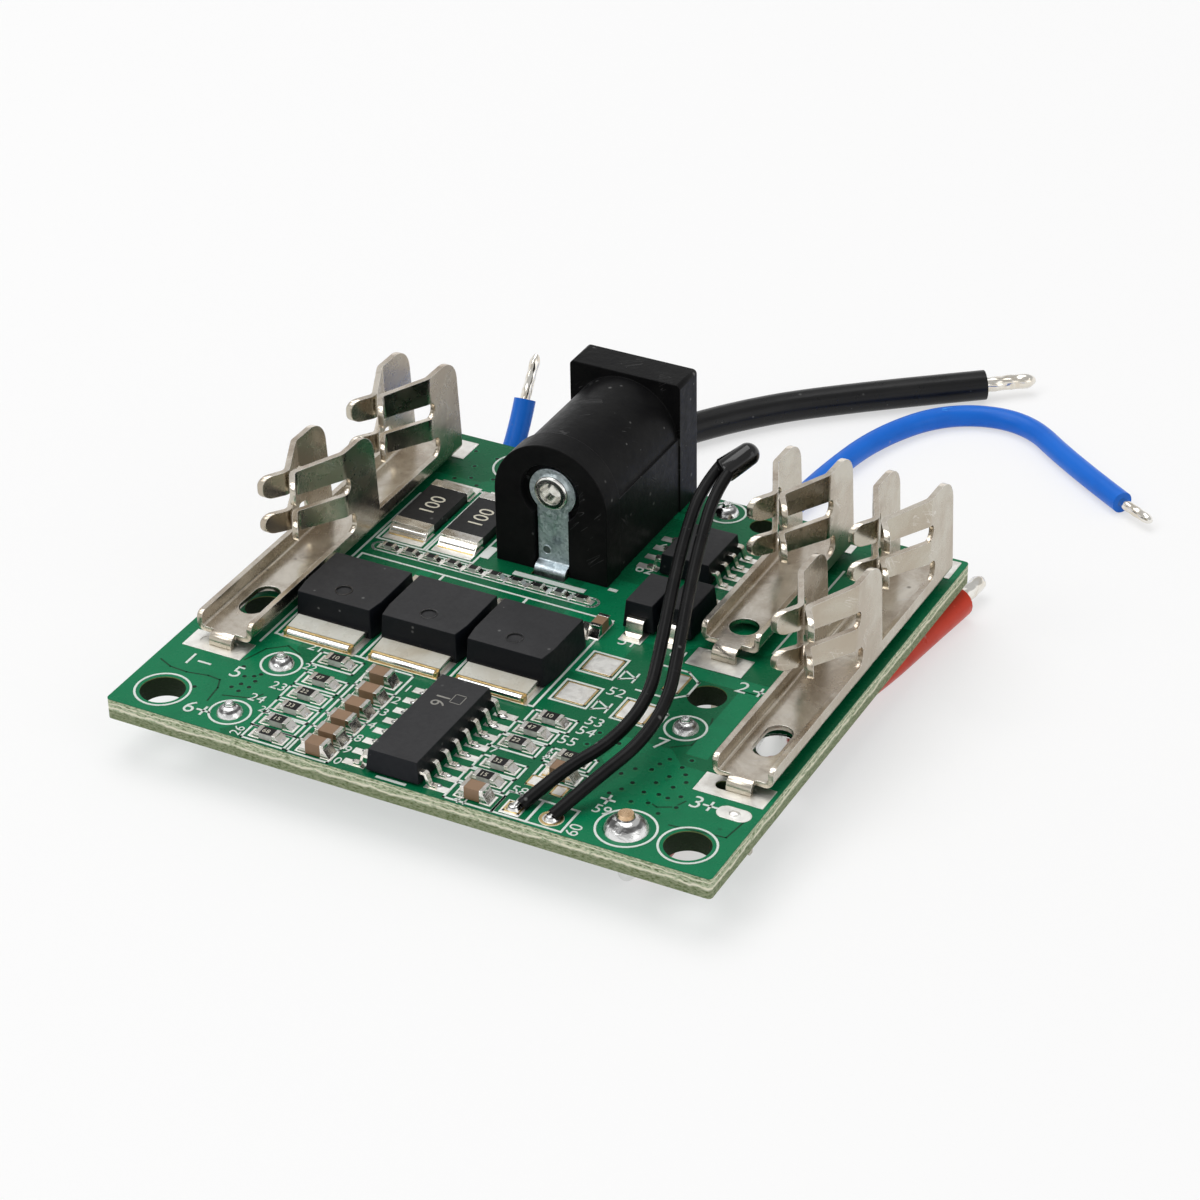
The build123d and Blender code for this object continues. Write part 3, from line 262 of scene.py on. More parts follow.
# the mask marks rounded edges, where finishes paint a highlight, and the normal rounds those edges
def make_edge_rounding_and_highlight():
    tree, given, result = new_group(
        "edge_rounding_and_highlight", [("Reach", 0.00006), ("Strength", 6)],
        [("Mask", "NodeSocketFloat"), ("Normal", "NodeSocketVector")],
    )
    rounded = put(tree, "ShaderNodeBevel", samples=4)
    wire_up(tree, given["Reach"], rounded.inputs["Radius"])
    flat = put(tree, "ShaderNodeNewGeometry")
    dot = put(tree, "ShaderNodeVectorMath", operation="DOT_PRODUCT")
    wire_up(tree, rounded.outputs[0], dot.inputs[0])
    wire_up(tree, flat.outputs["Normal"], dot.inputs[1])
    away = number(tree, "MULTIPLY", number(tree, "SUBTRACT", 1, dot.outputs["Value"]), given["Strength"])
    wire_up(tree, number(tree, "MINIMUM", away, 1), result["Mask"])
    wire_up(tree, rounded.outputs[0], result["Normal"])
    return tree


GRAIN = make_grain()
STAINS = make_stains()
SPECKS = make_specks()
SCRATCHES = make_scratches()
EDGES = make_edge_rounding_and_highlight()


def effect(tree, group, **values):
    made = put(tree, "ShaderNodeGroup", node_tree=group)
    for name, value in values.items():
        made.inputs[name].default_value = value
    return made.outputs


def start_finish(name, **constants):
    material = bpy.data.materials.new(name)
    material.use_nodes = True
    tree = material.node_tree
    shader = tree.nodes["Principled BSDF"]
    for label, value in constants.items():
        shader.inputs[label.replace("_", " ")].default_value = value
    return material, tree, shader


def close_finish(tree, shader, colour, rough, height, depth, normal=None):
    wire_up(tree, colour, shader.inputs["Base Color"])
    wire_up(tree, rough, shader.inputs["Roughness"])
    bump = put(tree, "ShaderNodeBump")
    bump.inputs["Strength"].default_value = 1
    bump.inputs["Distance"].default_value = depth
    wire_up(tree, height, bump.inputs["Height"])
    if normal is not None:
        wire_up(tree, normal, bump.inputs["Normal"])
    wire_up(tree, bump.outputs[0], shader.inputs["Normal"])


def metal_finish(name, base, stain, rough=(0.25, 0.4), stain_scale=180, stain_cover=0.55, grain_scale=1500,
                 depth=0.000004, edge=None):
    material, tree, shader = start_finish(name, Metallic=1.0)
    clouds = effect(tree, STAINS, Scale=stain_scale, Cover=stain_cover, Soft=0.16)
    colour = blend_colour(tree, clouds["Mask"], base, stain)
    grain = effect(tree, GRAIN, Scale=grain_scale, Low=rough[0], High=rough[1])
    edge_round_and_highlight = effect(tree, EDGES, Reach=0.00005, Strength=5)
    # where an edge colour is given, the rounded edges take it as a painted highlight
    if edge:
        colour = tinted(tree, colour, edge_round_and_highlight["Mask"], 0.7, edge)
    close_finish(tree, shader, colour, grain["Value"], grain["Height"], depth, edge_round_and_highlight["Normal"])
    return material


def moulded_finish(name, base, worn, rough=(0.4, 0.55), grain_scale=2500, depth=0.000006, edge=None,
                   scratch=0.0, dust=0.0, coat=0.0, level=0.5, side=None):
    material, tree, shader = start_finish(name, Coat_Weight=coat, Coat_Roughness=0.12,
                                          Specular_IOR_Level=level)
    clouds = effect(tree, STAINS, Scale=220, Cover=0.55, Soft=0.25)
    colour = blend_colour(tree, clouds["Mask"], base, worn)
    # faces turned away from up take the side colour as painted shade
    if side:
        colour = blend_colour(tree, number(tree, "LESS_THAN", facing_up(tree), 0.6), colour, side)
    grain = effect(tree, GRAIN, Scale=grain_scale, Low=rough[0], High=rough[1])
    rough_value = grain["Value"]
    if scratch:
        lines = effect(tree, SCRATCHES, Scale=70, Thin=0.005, Share=scratch)
        colour = tinted(tree, colour, lines["Mask"], 0.5, tuple(min(1, 0.06 + 3 * value) for value in worn))
        rough_value = number(tree, "MULTIPLY_ADD", lines["Mask"], 0.15, rough_value)
    if dust:
        dots = effect(tree, SPECKS, Scale=1700, Size=0.35, Share=dust)
        colour = tinted(tree, colour, dots["Mask"], 0.5, (0.35, 0.35, 0.34))
    edge_round_and_highlight = effect(tree, EDGES, Reach=0.00007, Strength=4)
    # where an edge colour is given, the rounded edges take it as a painted highlight
    if edge:
        colour = tinted(tree, colour, edge_round_and_highlight["Mask"], 0.5, edge)
    close_finish(tree, shader, colour, rough_value, grain["Height"], depth, edge_round_and_highlight["Normal"])
    return material


def nickel_finish():
    material, tree, shader = start_finish("stained_nickel", Metallic=1.0)
    # the base colour follows the facing, paler on the floors and darker on the walls: painted reflection
    level = fitted(tree, facing_up(tree), 0.55, 0.95)
    broad = effect(tree, STAINS, Scale=210, Cover=0.5, Soft=0.16)
    fine = effect(tree, STAINS, Scale=300, Cover=0.66, Soft=0.14)
    colour = blend_colour(tree, level, (0.53, 0.495, 0.415), (0.93, 0.865, 0.76))
    # the brown and dark stains are real, but they are painted stronger on the floors, which stands for their
    # darker reflection
    floor_stain_and_reflection = number(tree, "MULTIPLY_ADD", level, 0.2, 0.45)
    dark = number(tree, "MULTIPLY_ADD", level, 0.4, 0.1)
    colour = tinted(tree, colour, broad["Mask"], floor_stain_and_reflection, (0.36, 0.27, 0.19))
    colour = tinted(tree, colour, fine["Mask"], dark, (0.13, 0.085, 0.05))
    dots = effect(tree, SPECKS, Scale=1000, Size=0.3, Share=0.07)
    colour = tinted(tree, colour, dots["Mask"], 0.8, (0.05, 0.035, 0.02))
    lines = effect(tree, SCRATCHES, Scale=90, Thin=0.006, Share=0.4)
    colour = tinted(tree, colour, lines["Mask"], 0.3, (0.86, 0.83, 0.78))
    grain = effect(tree, GRAIN, Scale=900, Low=0.13, High=0.24)
    rough = number(tree, "MULTIPLY_ADD", broad["Mask"], 0.08, grain["Value"])
    rough = number(tree, "ADD", rough, number(tree, "MULTIPLY_ADD", level, -0.04, 0.04))
    edge_round_and_highlight = effect(tree, EDGES, Reach=0.00006, Strength=5)
    # a near-white painted highlight along the rounded edges
    colour = tinted(tree, colour, edge_round_and_highlight["Mask"], 0.8, (0.97, 0.95, 0.91))
    close_finish(tree, shader, colour, rough, grain["Height"], 0.000005, edge_round_and_highlight["Normal"])
    return material


def mask_colour(tree, point, shade, light):
    # copper areas seen through the green mask, clouds and dirt
    pours = put(tree, "ShaderNodeTexVoronoi", feature="F1", distance="CHEBYCHEV")
    pours.inputs["Scale"].default_value = 105
    wire_up(tree, point, pours.inputs["Vector"])
    copper = number(tree, "GREATER_THAN", split_colour(tree, pours.outputs["Color"])[0], 0.42)
    green = blend_colour(tree, copper, shade, light)
    clouds = effect(tree, STAINS, Scale=260, Cover=0.6, Soft=0.2)
    green = tinted(tree, green, clouds["Mask"], 0.3, (0.004, 0.075, 0.034))
    dirt = effect(tree, SPECKS, Scale=900, Size=0.3, Share=0.12)
    return copper, tinted(tree, green, dirt["Mask"], 0.5, (0.003, 0.03, 0.014))


def cut_colour(tree, point, height):
    # pressed glass layers on the cut edge, darker below, with two broken bright lines
    streaks = put(tree, "ShaderNodeMapping")
    streaks.inputs["Scale"].default_value = (3000, 3000, 8500)
    wire_up(tree, point, streaks.inputs["Vector"])
    layers = noise(tree, streaks.outputs[0], 1, 4, 0.65, 0.5)[0]
    ramp = put(tree, "ShaderNodeValToRGB")
    stops = ramp.color_ramp.elements
    for count, (spot, tone) in enumerate(CUT_TONES):
        stop = stops[count] if count < 2 else stops.new(spot)
        stop.position = spot
        stop.color = (*tone, 1)
    wire_up(tree, layers, ramp.inputs[0])
    cut = tinted(tree, ramp.outputs[0], fitted(tree, height, *CUT_LOW), 0.6, (0.11, 0.14, 0.05))
    swell = number(tree, "SUBTRACT", noise(tree, point, 430, 3, 0.7)[0], 0.5)
    lines = []
    for middle, swing, thin in CUT_LINES:
        level = number(tree, "SUBTRACT", height, number(tree, "MULTIPLY", swell, swing))
        off = number(tree, "ABSOLUTE", number(tree, "SUBTRACT", level, middle))
        lines.append(fitted(tree, off, 0, thin, 1, 0, "LINEAR"))
    broken = effect(tree, STAINS, Scale=700, Cover=0.4, Soft=0.06)
    bright = number(tree, "MULTIPLY", number(tree, "MAXIMUM", *lines), broken["Mask"])
    return layers, blend_colour(tree, bright, cut, (0.95, 0.91, 0.74))


def board_finish(name, shade, light):
    material, tree, shader = start_finish(name, Specular_IOR_Level=0.18)
    point = object_point(tree)
    x, y, height = split_place(tree, point)
    is_face = number(tree, "GREATER_THAN", number(tree, "ABSOLUTE", facing_up(tree)), 0.6)
    is_edge = number(tree, "SUBTRACT", 1, is_face)
    copper, green = mask_colour(tree, point, shade, light)
    layers, cut = cut_colour(tree, point, height)
    # the walls of the holes are painted dark as shade, with a pale rim, and the mask ends in a dark line
    within = [number(tree, "LESS_THAN", number(tree, "ABSOLUTE", way), reach)
              for way, reach in zip((x, y), HOLE_ZONE)]
    inside = number(tree, "MULTIPLY", *within)
    rim = number(tree, "GREATER_THAN", height, RIM_LEVEL)
    cut = blend_colour(tree, inside, cut, blend_colour(tree, rim, (0.012, 0.026, 0.008), (0.22, 0.28, 0.10)))
    mask_end = number(tree, "GREATER_THAN", height, MASK_LEVEL)
    cut = tinted(tree, cut, mask_end, number(tree, "SUBTRACT", 1, inside), (0.02, 0.16, 0.08))
    colour = blend_colour(tree, is_face, cut, green)
    grain = effect(tree, GRAIN, Scale=900, Low=0.22, High=0.32)
    rough = number(tree, "MULTIPLY_ADD", is_edge, 0.6, number(tree, "MULTIPLY", grain["Value"], is_face))
    relief = number(tree, "MULTIPLY_ADD", grain["Height"], 0.4, number(tree, "MULTIPLY", copper, 0.5))
    relief = number(tree, "MULTIPLY", relief, is_face)
    relief = number(tree, "MULTIPLY_ADD", number(tree, "MULTIPLY", layers, is_edge), 6, relief)
    close_finish(tree, shader, colour, rough, relief, 0.000012)
    return material


def chip_resistor_finish():
    material, tree, shader = start_finish("resistor_glaze", Specular_IOR_Level=0.2)
    is_top = number(tree, "GREATER_THAN", facing_up(tree), 0.7)
    clouds = effect(tree, STAINS, Scale=900, Cover=0.55, Soft=0.2)
    ceramic = blend_colour(tree, clouds["Mask"], (0.62, 0.62, 0.58), (0.36, 0.36, 0.32))
    glaze = blend_colour(tree, clouds["Mask"], (0.006, 0.006, 0.0065), (0.014, 0.014, 0.014))
    grain = effect(tree, GRAIN, Scale=2500, Low=0.32, High=0.46)
    colour = blend_colour(tree, is_top, ceramic, glaze)
    close_finish(tree, shader, colour, grain["Value"], grain["Height"], 0.000005)
    return material


def zinc_finish():
    material, tree, shader = start_finish("galvanised_plate", Metallic=1.0)
    point = object_point(tree)
    shifted = put(tree, "ShaderNodeMix", data_type="VECTOR")
    shifted.inputs[0].default_value = 0.0003
    wire_up(tree, point, shifted.inputs[4])
    wire_up(tree, noise(tree, point, 900)["Color"], shifted.inputs[5])
    spangle = put(tree, "ShaderNodeTexVoronoi", feature="F1")
    spangle.inputs["Scale"].default_value = 5200
    wire_up(tree, shifted.outputs[1], spangle.inputs["Vector"])
    tone = split_colour(tree, spangle.outputs["Color"])
    colour = blend_colour(tree, tone[0], (0.44, 0.52, 0.56), (0.72, 0.80, 0.84))
    rough = number(tree, "MULTIPLY_ADD", tone[1], 0.2, 0.3)
    edge_round_and_highlight = effect(tree, EDGES, Reach=0.00005, Strength=4)
    close_finish(tree, shader, colour, rough, tone[2], 0.000006, edge_round_and_highlight["Normal"])
    return material


def dome_finish():
    # a solder dome gets a dark ring painted below its top, as painted reflection
    material, tree, shader = start_finish("dome_solder", Metallic=1.0)
    clouds = effect(tree, STAINS, Scale=650, Cover=0.5, Soft=0.12)
    lean = number(tree, "MULTIPLY_ADD", clouds["Mask"], 0.12, facing_up(tree))
    ring = fitted(tree, number(tree, "ABSOLUTE", number(tree, "SUBTRACT", lean, 0.84)), 0.15, 0.07)
    colour = tinted(tree, (0.78, 0.78, 0.77), ring, 0.85, (0.07, 0.07, 0.07))
    grain = effect(tree, GRAIN, Scale=900, Low=0.06, High=0.16)
    close_finish(tree, shader, colour, grain["Value"], clouds["Mask"], 0.00002)
    return material


def wire_finish(name, base, shade, rough=(0.24, 0.38), coat=0.05, level=0.22):
    return moulded_finish(name, base, shade, rough=rough, grain_scale=700, depth=0.00001, scratch=0.32,
                          dust=0.08, coat=coat, level=level)


FINISHES = {
    "board": board_finish("green_board", (0.0015, 0.132, 0.050), (0.0025, 0.190, 0.076)),
    "nickel": nickel_finish(),
    "solder": metal_finish("bright_solder", (0.80, 0.80, 0.79), (0.55, 0.55, 0.53), rough=(0.06, 0.16),
                           stain_scale=500, stain_cover=0.6, grain_scale=1100, depth=0.00001),
    "tinned_pad": metal_finish("tinned_pad", (0.93, 0.92, 0.88), (0.70, 0.67, 0.62), rough=(0.34, 0.5),
                               stain_scale=420, grain_scale=2200, depth=0.000008),
    "print": moulded_finish("white_print", (0.80, 0.84, 0.80), (0.66, 0.74, 0.68), rough=(0.5, 0.65)),
    "jack_plastic": moulded_finish("socket_black", (0.0055, 0.0055, 0.006), (0.012, 0.012, 0.012),
                                   rough=(0.3, 0.46), grain_scale=1500, depth=0.000026, scratch=0.36,
                                   dust=0.08, level=0.07, edge=(0.05, 0.05, 0.05)),
    "zinc_plate": zinc_finish(),
    "pin_metal": metal_finish("pin_nickel", (0.93, 0.93, 0.90), (0.72, 0.71, 0.66), rough=(0.12, 0.2)),
    "spring_metal": metal_finish("spring_strip", (0.62, 0.58, 0.46), (0.5, 0.45, 0.34)),
    # the case's sides are painted darker and bluer as shade and its edges lighter as painted highlight
    "case_plastic": moulded_finish("moulded_case", (0.026, 0.026, 0.0275), (0.037, 0.037, 0.039),
                                   rough=(0.45, 0.6), grain_scale=2600, depth=0.000009, dust=0.1, level=0.2,
                                   edge=(0.05, 0.05, 0.052), side=(0.0035, 0.0048, 0.0075)),
    "lead_metal": metal_finish("plated_leads", (0.94, 0.91, 0.84), (0.74, 0.66, 0.53), rough=(0.12, 0.24),
                               stain_scale=700, stain_cover=0.6, edge=(0.9, 0.88, 0.84)),
    "shunt_body": moulded_finish("shunt_glaze", (0.008, 0.008, 0.009), (0.014, 0.014, 0.015),
                                 dust=0.1, level=0.25, edge=(0.05, 0.05, 0.05)),
    "resistor_body": chip_resistor_finish(),
    "capacitor_body": moulded_finish("capacitor_ceramic", (0.29, 0.175, 0.098), (0.21, 0.125, 0.068),
                                     rough=(0.42, 0.55), edge=(0.42, 0.28, 0.17)),
    "end_metal": metal_finish("tinned_ends", (0.84, 0.82, 0.78), (0.60, 0.55, 0.46), rough=(0.1, 0.24),
                              stain_scale=900, grain_scale=2400, depth=0.00001, edge=(0.9, 0.9, 0.88)),
    "black_wire": wire_finish("black_cover", (0.006, 0.006, 0.0065), (0.012, 0.012, 0.012)),
    "red_wire": wire_finish("red_cover", (0.68, 0.040, 0.008), (0.58, 0.028, 0.005), rough=(0.26, 0.4)),
    "blue_wire": wire_finish("blue_cover", (0.008, 0.165, 0.72), (0.006, 0.135, 0.63), rough=(0.28, 0.42)),
    "sensor_black": wire_finish("sensor_cover", (0.006, 0.006, 0.0065), (0.014, 0.014, 0.014),
                                rough=(0.16, 0.3), coat=0.0, level=0.1),
    "tinned_core": metal_finish("tinned_strands", (0.86, 0.84, 0.79), (0.70, 0.62, 0.50), rough=(0.08, 0.18),
                                stain_scale=500, grain_scale=700, depth=0.00001),
}
LIGHT_POUR = board_finish("light_pour", (0.0045, 0.215, 0.090), (0.0045, 0.215, 0.090))
DARK_GAP = board_finish("dark_gap", (0.002, 0.048, 0.018), (0.002, 0.048, 0.018))
VIA_HOLE_SHADE = board_finish("via_hole_shade", (0.001, 0.014, 0.006), (0.001, 0.014, 0.006))
DOME_SOLDER = dome_finish()
TAB_CREAM = moulded_finish("tab_cream", (0.66, 0.66, 0.60), (0.50, 0.45, 0.35), rough=(0.22, 0.36),
                           grain_scale=900)
GOLD_RIM = metal_finish("gold_rim", (0.74, 0.56, 0.27), (0.55, 0.38, 0.16), stain_scale=700)
BEAD_GLOSS = moulded_finish("bead_gloss", (0.004, 0.004, 0.0045), (0.007, 0.007, 0.007), rough=(0.06, 0.14),
                            grain_scale=500, depth=0.000012, level=0.5)
HOLLOW_SHADE = metal_finish("hollow_shade", (0.22, 0.25, 0.26), (0.08, 0.09, 0.09), rough=(0.25, 0.4))
COPPER_END = metal_finish("copper_end", (0.78, 0.56, 0.36), (0.55, 0.36, 0.2), rough=(0.2, 0.35),
                          stain_scale=900)
GREY_MARK = moulded_finish("grey_mark", (0.30, 0.29, 0.26), (0.20, 0.195, 0.18), rough=(0.5, 0.65))
CREAM_MARK = moulded_finish("cream_mark", (0.82, 0.78, 0.64), (0.66, 0.62, 0.5), rough=(0.5, 0.65))


def dress_cad():
    for piece in frame["record"]["subparts"]:
        shape = parts[piece["node"]]
        shape.data.materials.clear()
        shape.data.materials.append(FINISHES[piece["material_slot"]])


# Mesh helpers

def finish_piece(shape, name, slot, smooth=True, covers=(), finish=None):
    mesh = bpy.data.meshes.new(name)
    shape.to_mesh(mesh)
    shape.free()
    piece = bpy.data.objects.new(name, mesh)
    bpy.context.scene.collection.objects.link(piece)
    mesh.materials.append(finish or FINISHES[slot])
    if smooth:
        mesh.shade_smooth()
        mesh.set_sharp_from_angle(angle=SHARP)
    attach(piece, "root")
    if covers:
        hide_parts(*covers)
    return piece


def soften_node(node_name, slot, width, finish=None):
    shape = bmesh.new()
    shape.from_mesh(parts[node_name].data)
    bmesh.ops.remove_doubles(shape, verts=shape.verts, dist=1e-6)
    bmesh.ops.dissolve_limit(shape, angle_limit=math.radians(1), verts=shape.verts, edges=shape.edges)
    if width:
        corners = [edge for edge in shape.edges
                   if len(edge.link_faces) == 2 and edge.calc_face_angle() > math.radians(25)]
        bmesh.ops.bevel(shape, geom=corners, offset=width, offset_type="OFFSET", affect="EDGES", segments=2,
                        profile=0.5, material=-1, clamp_overlap=True)
    piece = finish_piece(shape, node_name + "_shape", slot, covers=[node_name], finish=finish)
    flatten = piece.modifiers.new("even_shading", "WEIGHTED_NORMAL")
    flatten.keep_sharp = True


def slab(shape, x, y, low, length, width, height, turn=0.0):
    made = bmesh.ops.create_cube(shape, size=MM)["verts"]
    bmesh.ops.scale(shape, verts=made, vec=(length, width, height))
    bmesh.ops.rotate(shape, verts=made, cent=(0, 0, 0), matrix=Matrix.Rotation(turn, 3, "Z"))
    bmesh.ops.translate(shape, verts=made, vec=mm(x, y, low + height / 2))
    return made


def stroke(shape, points, width=PRINT_WIDTH, low=BOARD_TOP, height=PRINT_THICK):
    for (ax, ay), (bx, by) in zip(points, points[1:]):
        length = math.hypot(bx - ax, by - ay)
        turn = math.atan2(by - ay, bx - ax)
        slab(shape, (ax + bx) / 2, (ay + by) / 2, low, length + width, width, height, turn)


def outline(shape, left, front, right, back, width=PRINT_WIDTH, low=BOARD_TOP, height=PRINT_THICK):
    corners = [(left, front), (right, front), (right, back), (left, back), (left, front)]
    stroke(shape, corners, width, low, height)


def disc(shape, x, y, low, radius, height, sides=20, top=None):
    made = bmesh.ops.create_cone(shape, cap_ends=True, segments=sides, radius1=radius * MM,
                                 radius2=(radius if top is None else top) * MM, depth=height * MM)["verts"]
    bmesh.ops.translate(shape, verts=made, vec=mm(x, y, low + height / 2))
    return made


def mound(shape, x, y, z, half_x, half_y, half_z):
    made = bmesh.ops.create_uvsphere(shape, u_segments=12, v_segments=8, radius=MM)["verts"]
    bmesh.ops.scale(shape, verts=made, vec=(half_x, half_y, half_z))
    bmesh.ops.translate(shape, verts=made, vec=mm(x, y, z))


def rod(shape, x, y, z, length, radius):
    made = disc(shape, 0, 0, -length / 2, radius, length, 18)
    bmesh.ops.rotate(shape, verts=made, cent=(0, 0, 0), matrix=Matrix.Rotation(math.pi / 2, 3, "Y"))
    bmesh.ops.translate(shape, verts=made, vec=mm(x, y, z))


def turned_ring(shape, x, y, profile, steps=48):
    corners = [shape.verts.new(mm(radius, 0, height)) for radius, height in profile]
    edges = [shape.edges.new(pair) for pair in zip(corners, corners[1:] + corners[:1])]
    before = set(shape.verts) - set(corners)
    bmesh.ops.spin(shape, geom=corners + edges, axis=(0, 0, 1), cent=(0, 0, 0), angle=2 * math.pi,
                   steps=steps, use_merge=True)
    made = [vert for vert in shape.verts if vert not in before]
    bmesh.ops.remove_doubles(shape, verts=made, dist=1e-7)
    made = [vert for vert in shape.verts if vert not in before]
    bmesh.ops.translate(shape, verts=made, vec=mm(x, y, 0))


def digits(shape, body, x, y, tall, turn=0.0, low=BOARD_TOP, raised=PRINT_THICK):
    letters = bpy.data.curves.new("plain_digits", "FONT")
    letters.body = body
    letters.size = tall / DIGIT_HEIGHT * MM
    letters.extrude = raised / 2 * MM
    letters.resolution_u = 3
    holder = bpy.data.objects.new("plain_digits", letters)
    bpy.context.scene.collection.objects.link(holder)
    mesh = bpy.data.meshes.new_from_object(holder)
    bpy.data.objects.remove(holder)
    bpy.data.curves.remove(letters)
    before = set(shape.verts)
    shape.from_mesh(mesh)
    bpy.data.meshes.remove(mesh)
    made = [vert for vert in shape.verts if vert not in before]
    bmesh.ops.rotate(shape, verts=made, cent=(0, 0, 0), matrix=Matrix.Rotation(turn, 3, "Z"))
    bmesh.ops.translate(shape, verts=made, vec=mm(x, y, low + raised / 2))


def top_of(node_name):
    return max(corner[2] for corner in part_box(node_name)) / MM


# Leads

def lay_wire(name, points, radius, slot, cad_node):
    curve = bpy.data.curves.new(name, "CURVE")
    curve.dimensions = "3D"
    spline = curve.splines.new("NURBS")
    spline.points.add(len(points) - 1)
    for knot, point in zip(spline.points, points):
        knot.co = (*mm(*point), 1)
    spline.order_u = 3
    spline.use_endpoint_u = True
    spline.resolution_u = 24
    curve.bevel_depth = radius * MM
    curve.bevel_resolution = 8
    curve.use_fill_caps = True
    curve.materials.append(FINISHES[slot])
    wire = bpy.data.objects.new(name, curve)
    bpy.context.scene.collection.objects.link(wire)
    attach(wire, "root")
    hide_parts(cad_node)


def twist_tip(name, start, end, radius, lobes, cad_node):
    start, end = mm(*start), mm(*end)
    along = end - start
    start = start - along.normalized() * 0.0006
    along = end - start
    shape = bmesh.new()
    ring = bmesh.ops.create_circle(shape, segments=lobes * 6, radius=radius * MM)["verts"]
    for vert in ring:
        angle = math.atan2(vert.co.y, vert.co.x)
        swell = 0.91 + 0.09 * abs(math.cos(angle * lobes / 2))
        vert.co = Vector((vert.co.x * swell, vert.co.y * swell, 0))
    edges = list(shape.edges)
    bmesh.ops.edgeloop_fill(shape, edges=edges)
    steps, last = 28, 1
    for step in range(1, steps + 1):
        made = bmesh.ops.extrude_edge_only(shape, edges=edges)["geom"]
        ring = [item for item in made if isinstance(item, bmesh.types.BMVert)]
        edges = [item for item in made if isinstance(item, bmesh.types.BMEdge)]
        bmesh.ops.translate(shape, verts=ring, vec=(0, 0, along.length / steps))
        bmesh.ops.rotate(shape, verts=ring, cent=(0, 0, 0),
                         matrix=Matrix.Rotation(WIRE_TWIST * 2 * math.pi / steps, 3, "Z"))
        wobble = 1 + 0.03 * math.sin(step * 0.9)
        if step > steps - 4:
            wobble *= (0.96, 0.86, 0.68, 0.4)[step - steps + 3]
        middle = Vector((0, 0, along.length * step / steps))
        factor = wobble / last
        bmesh.ops.scale(shape, verts=ring, vec=(factor, factor, 1), space=Matrix.Translation(-middle))
        last = wobble
    bmesh.ops.edgeloop_fill(shape, edges=edges)
    bmesh.ops.recalc_face_normals(shape, faces=shape.faces)
    bmesh.ops.transform(shape, verts=shape.verts,
                        matrix=Matrix.Translation(start) @ along.to_track_quat("Z", "Y").to_matrix().to_4x4())
    return finish_piece(shape, name, "tinned_core", covers=[cad_node])


def make_bead():
    start, end = mm(7.25, 13.3, 12.45), mm(8.9, 15.1, 13.7)
    along = end - start
    upward = along.normalized()
    across = mm(0.97, -0.85, 0)  # from one lead to the other, where the bead is widest
    across = (across - across.dot(upward) * upward).normalized()
    sideways = upward.cross(across)
    shape = bmesh.new()
    bmesh.ops.create_uvsphere(shape, u_segments=32, v_segments=20, radius=MM)
    far_round = 0.81
    for vert in shape.verts:
        x, y, z = vert.co
        if z > 1e-9:
            vert.co = (x * 0.88, y * 0.86, z * far_round + along.length - far_round * MM)
        else:
            vert.co = (x * 1.1, y * 0.84, z * 0.45)
    turn = Matrix((across, sideways, upward)).transposed().to_4x4()
    bmesh.ops.transform(shape, verts=shape.verts, matrix=Matrix.Translation(start) @ turn)
    bmesh.ops.recalc_face_normals(shape, faces=shape.faces)
    return finish_piece(shape, "sensor_bead_shape", "sensor_black", covers=["sensor_bead"], finish=BEAD_GLOSS)


def lay_leads():
    black = [(-12.07, 20.37, 1.2), (-11.2, 25.4, 1.2), (-8.4, 31.4, 1.2), (-4.5, 37.6, 1.2), (1.2, 43.6, 1.2),
             (11.7, 51.5, 1.2)]
    red = [(16.28, -16.76, 1.2), (15.9, -11.4, 1.2), (17.75, -4.4, 1.2), (19.3, 3.0, 1.2), (20.9, 10.0, 1.2),
           (21.6, 15.8, 1.2), (22.3, 21.0, 1.2)]
    long_blue = [(4.68, 21.22, 0.85), (5.6, 26.4, 0.85), (5.9, 33.0, 0.85), (7.1, 40.6, 0.85),
                 (10.6, 46.6, 0.85), (16.6, 48.2, 0.85), (22.1, 43.6, 0.85), (27.8, 39.8, 0.85)]
    short_blue = [(-14.69, -10.48, 0.85), (-15.6, -4.5, 0.85), (-16.1, 2.0, 0.85), (-16.2, 8.8, 0.85),
                  (-15.9, 15.2, 0.85), (-15.34, 21.74, 0.85), (-15.75, 25.46, 6.25)]
    left = [(8.6, -19.66, 4.95), (9.9, -16.8, 6.2), (12.0, -13.4, 7.1), (12.45, -9.0, 7.9),
            (11.0, -4.3, 8.85), (9.2, 0.9, 9.8), (7.6, 6.0, 10.8), (6.45, 11.0, 11.9), (6.75, 13.6, 12.5)]
    right = [(10.95, -19.75, 4.95), (12.6, -16.6, 6.5), (13.95, -13.0, 7.4), (13.75, -8.6, 8.0),
             (12.15, -3.9, 8.85), (10.3, 1.3, 9.8), (8.7, 6.4, 10.8), (7.55, 11.0, 11.9), (7.72, 12.75, 12.5)]
    for name, points, tip_end, radius, core, slot, length, lobes in (
        ("black_lead", black, (15.0, 54.0, 1.2), POWER_WIRE, 0.6, "black_wire", 40.4, 5),
        ("red_lead", red, (22.7, 24.5, 1.2), POWER_WIRE, 0.6, "red_wire", 38.3, 5),
        ("long_blue_lead", long_blue, (30.7, 38.2, 0.85), BALANCE_WIRE, 0.4, "blue_wire", 45.9, 4),
        ("short_blue_lead", short_blue, (-15.78, 27.55, 9.15), BALANCE_WIRE, 0.4, "blue_wire", 38.4, 4),
    ):
        tip = twist_tip(name + "_strands", points[-1], tip_end, core, lobes, name + "_tip")
        lay_wire(name + "_cover", points, radius, slot, name)
    bead = make_bead()
    for side, points, length in (("left", left, 35.3), ("right", right, 34.2)):
        lay_wire("sensor_%s_cover" % side, points, SENSOR_WIRE, "sensor_black",
                 "sensor_%s_lead" % side)


# Small work on the board

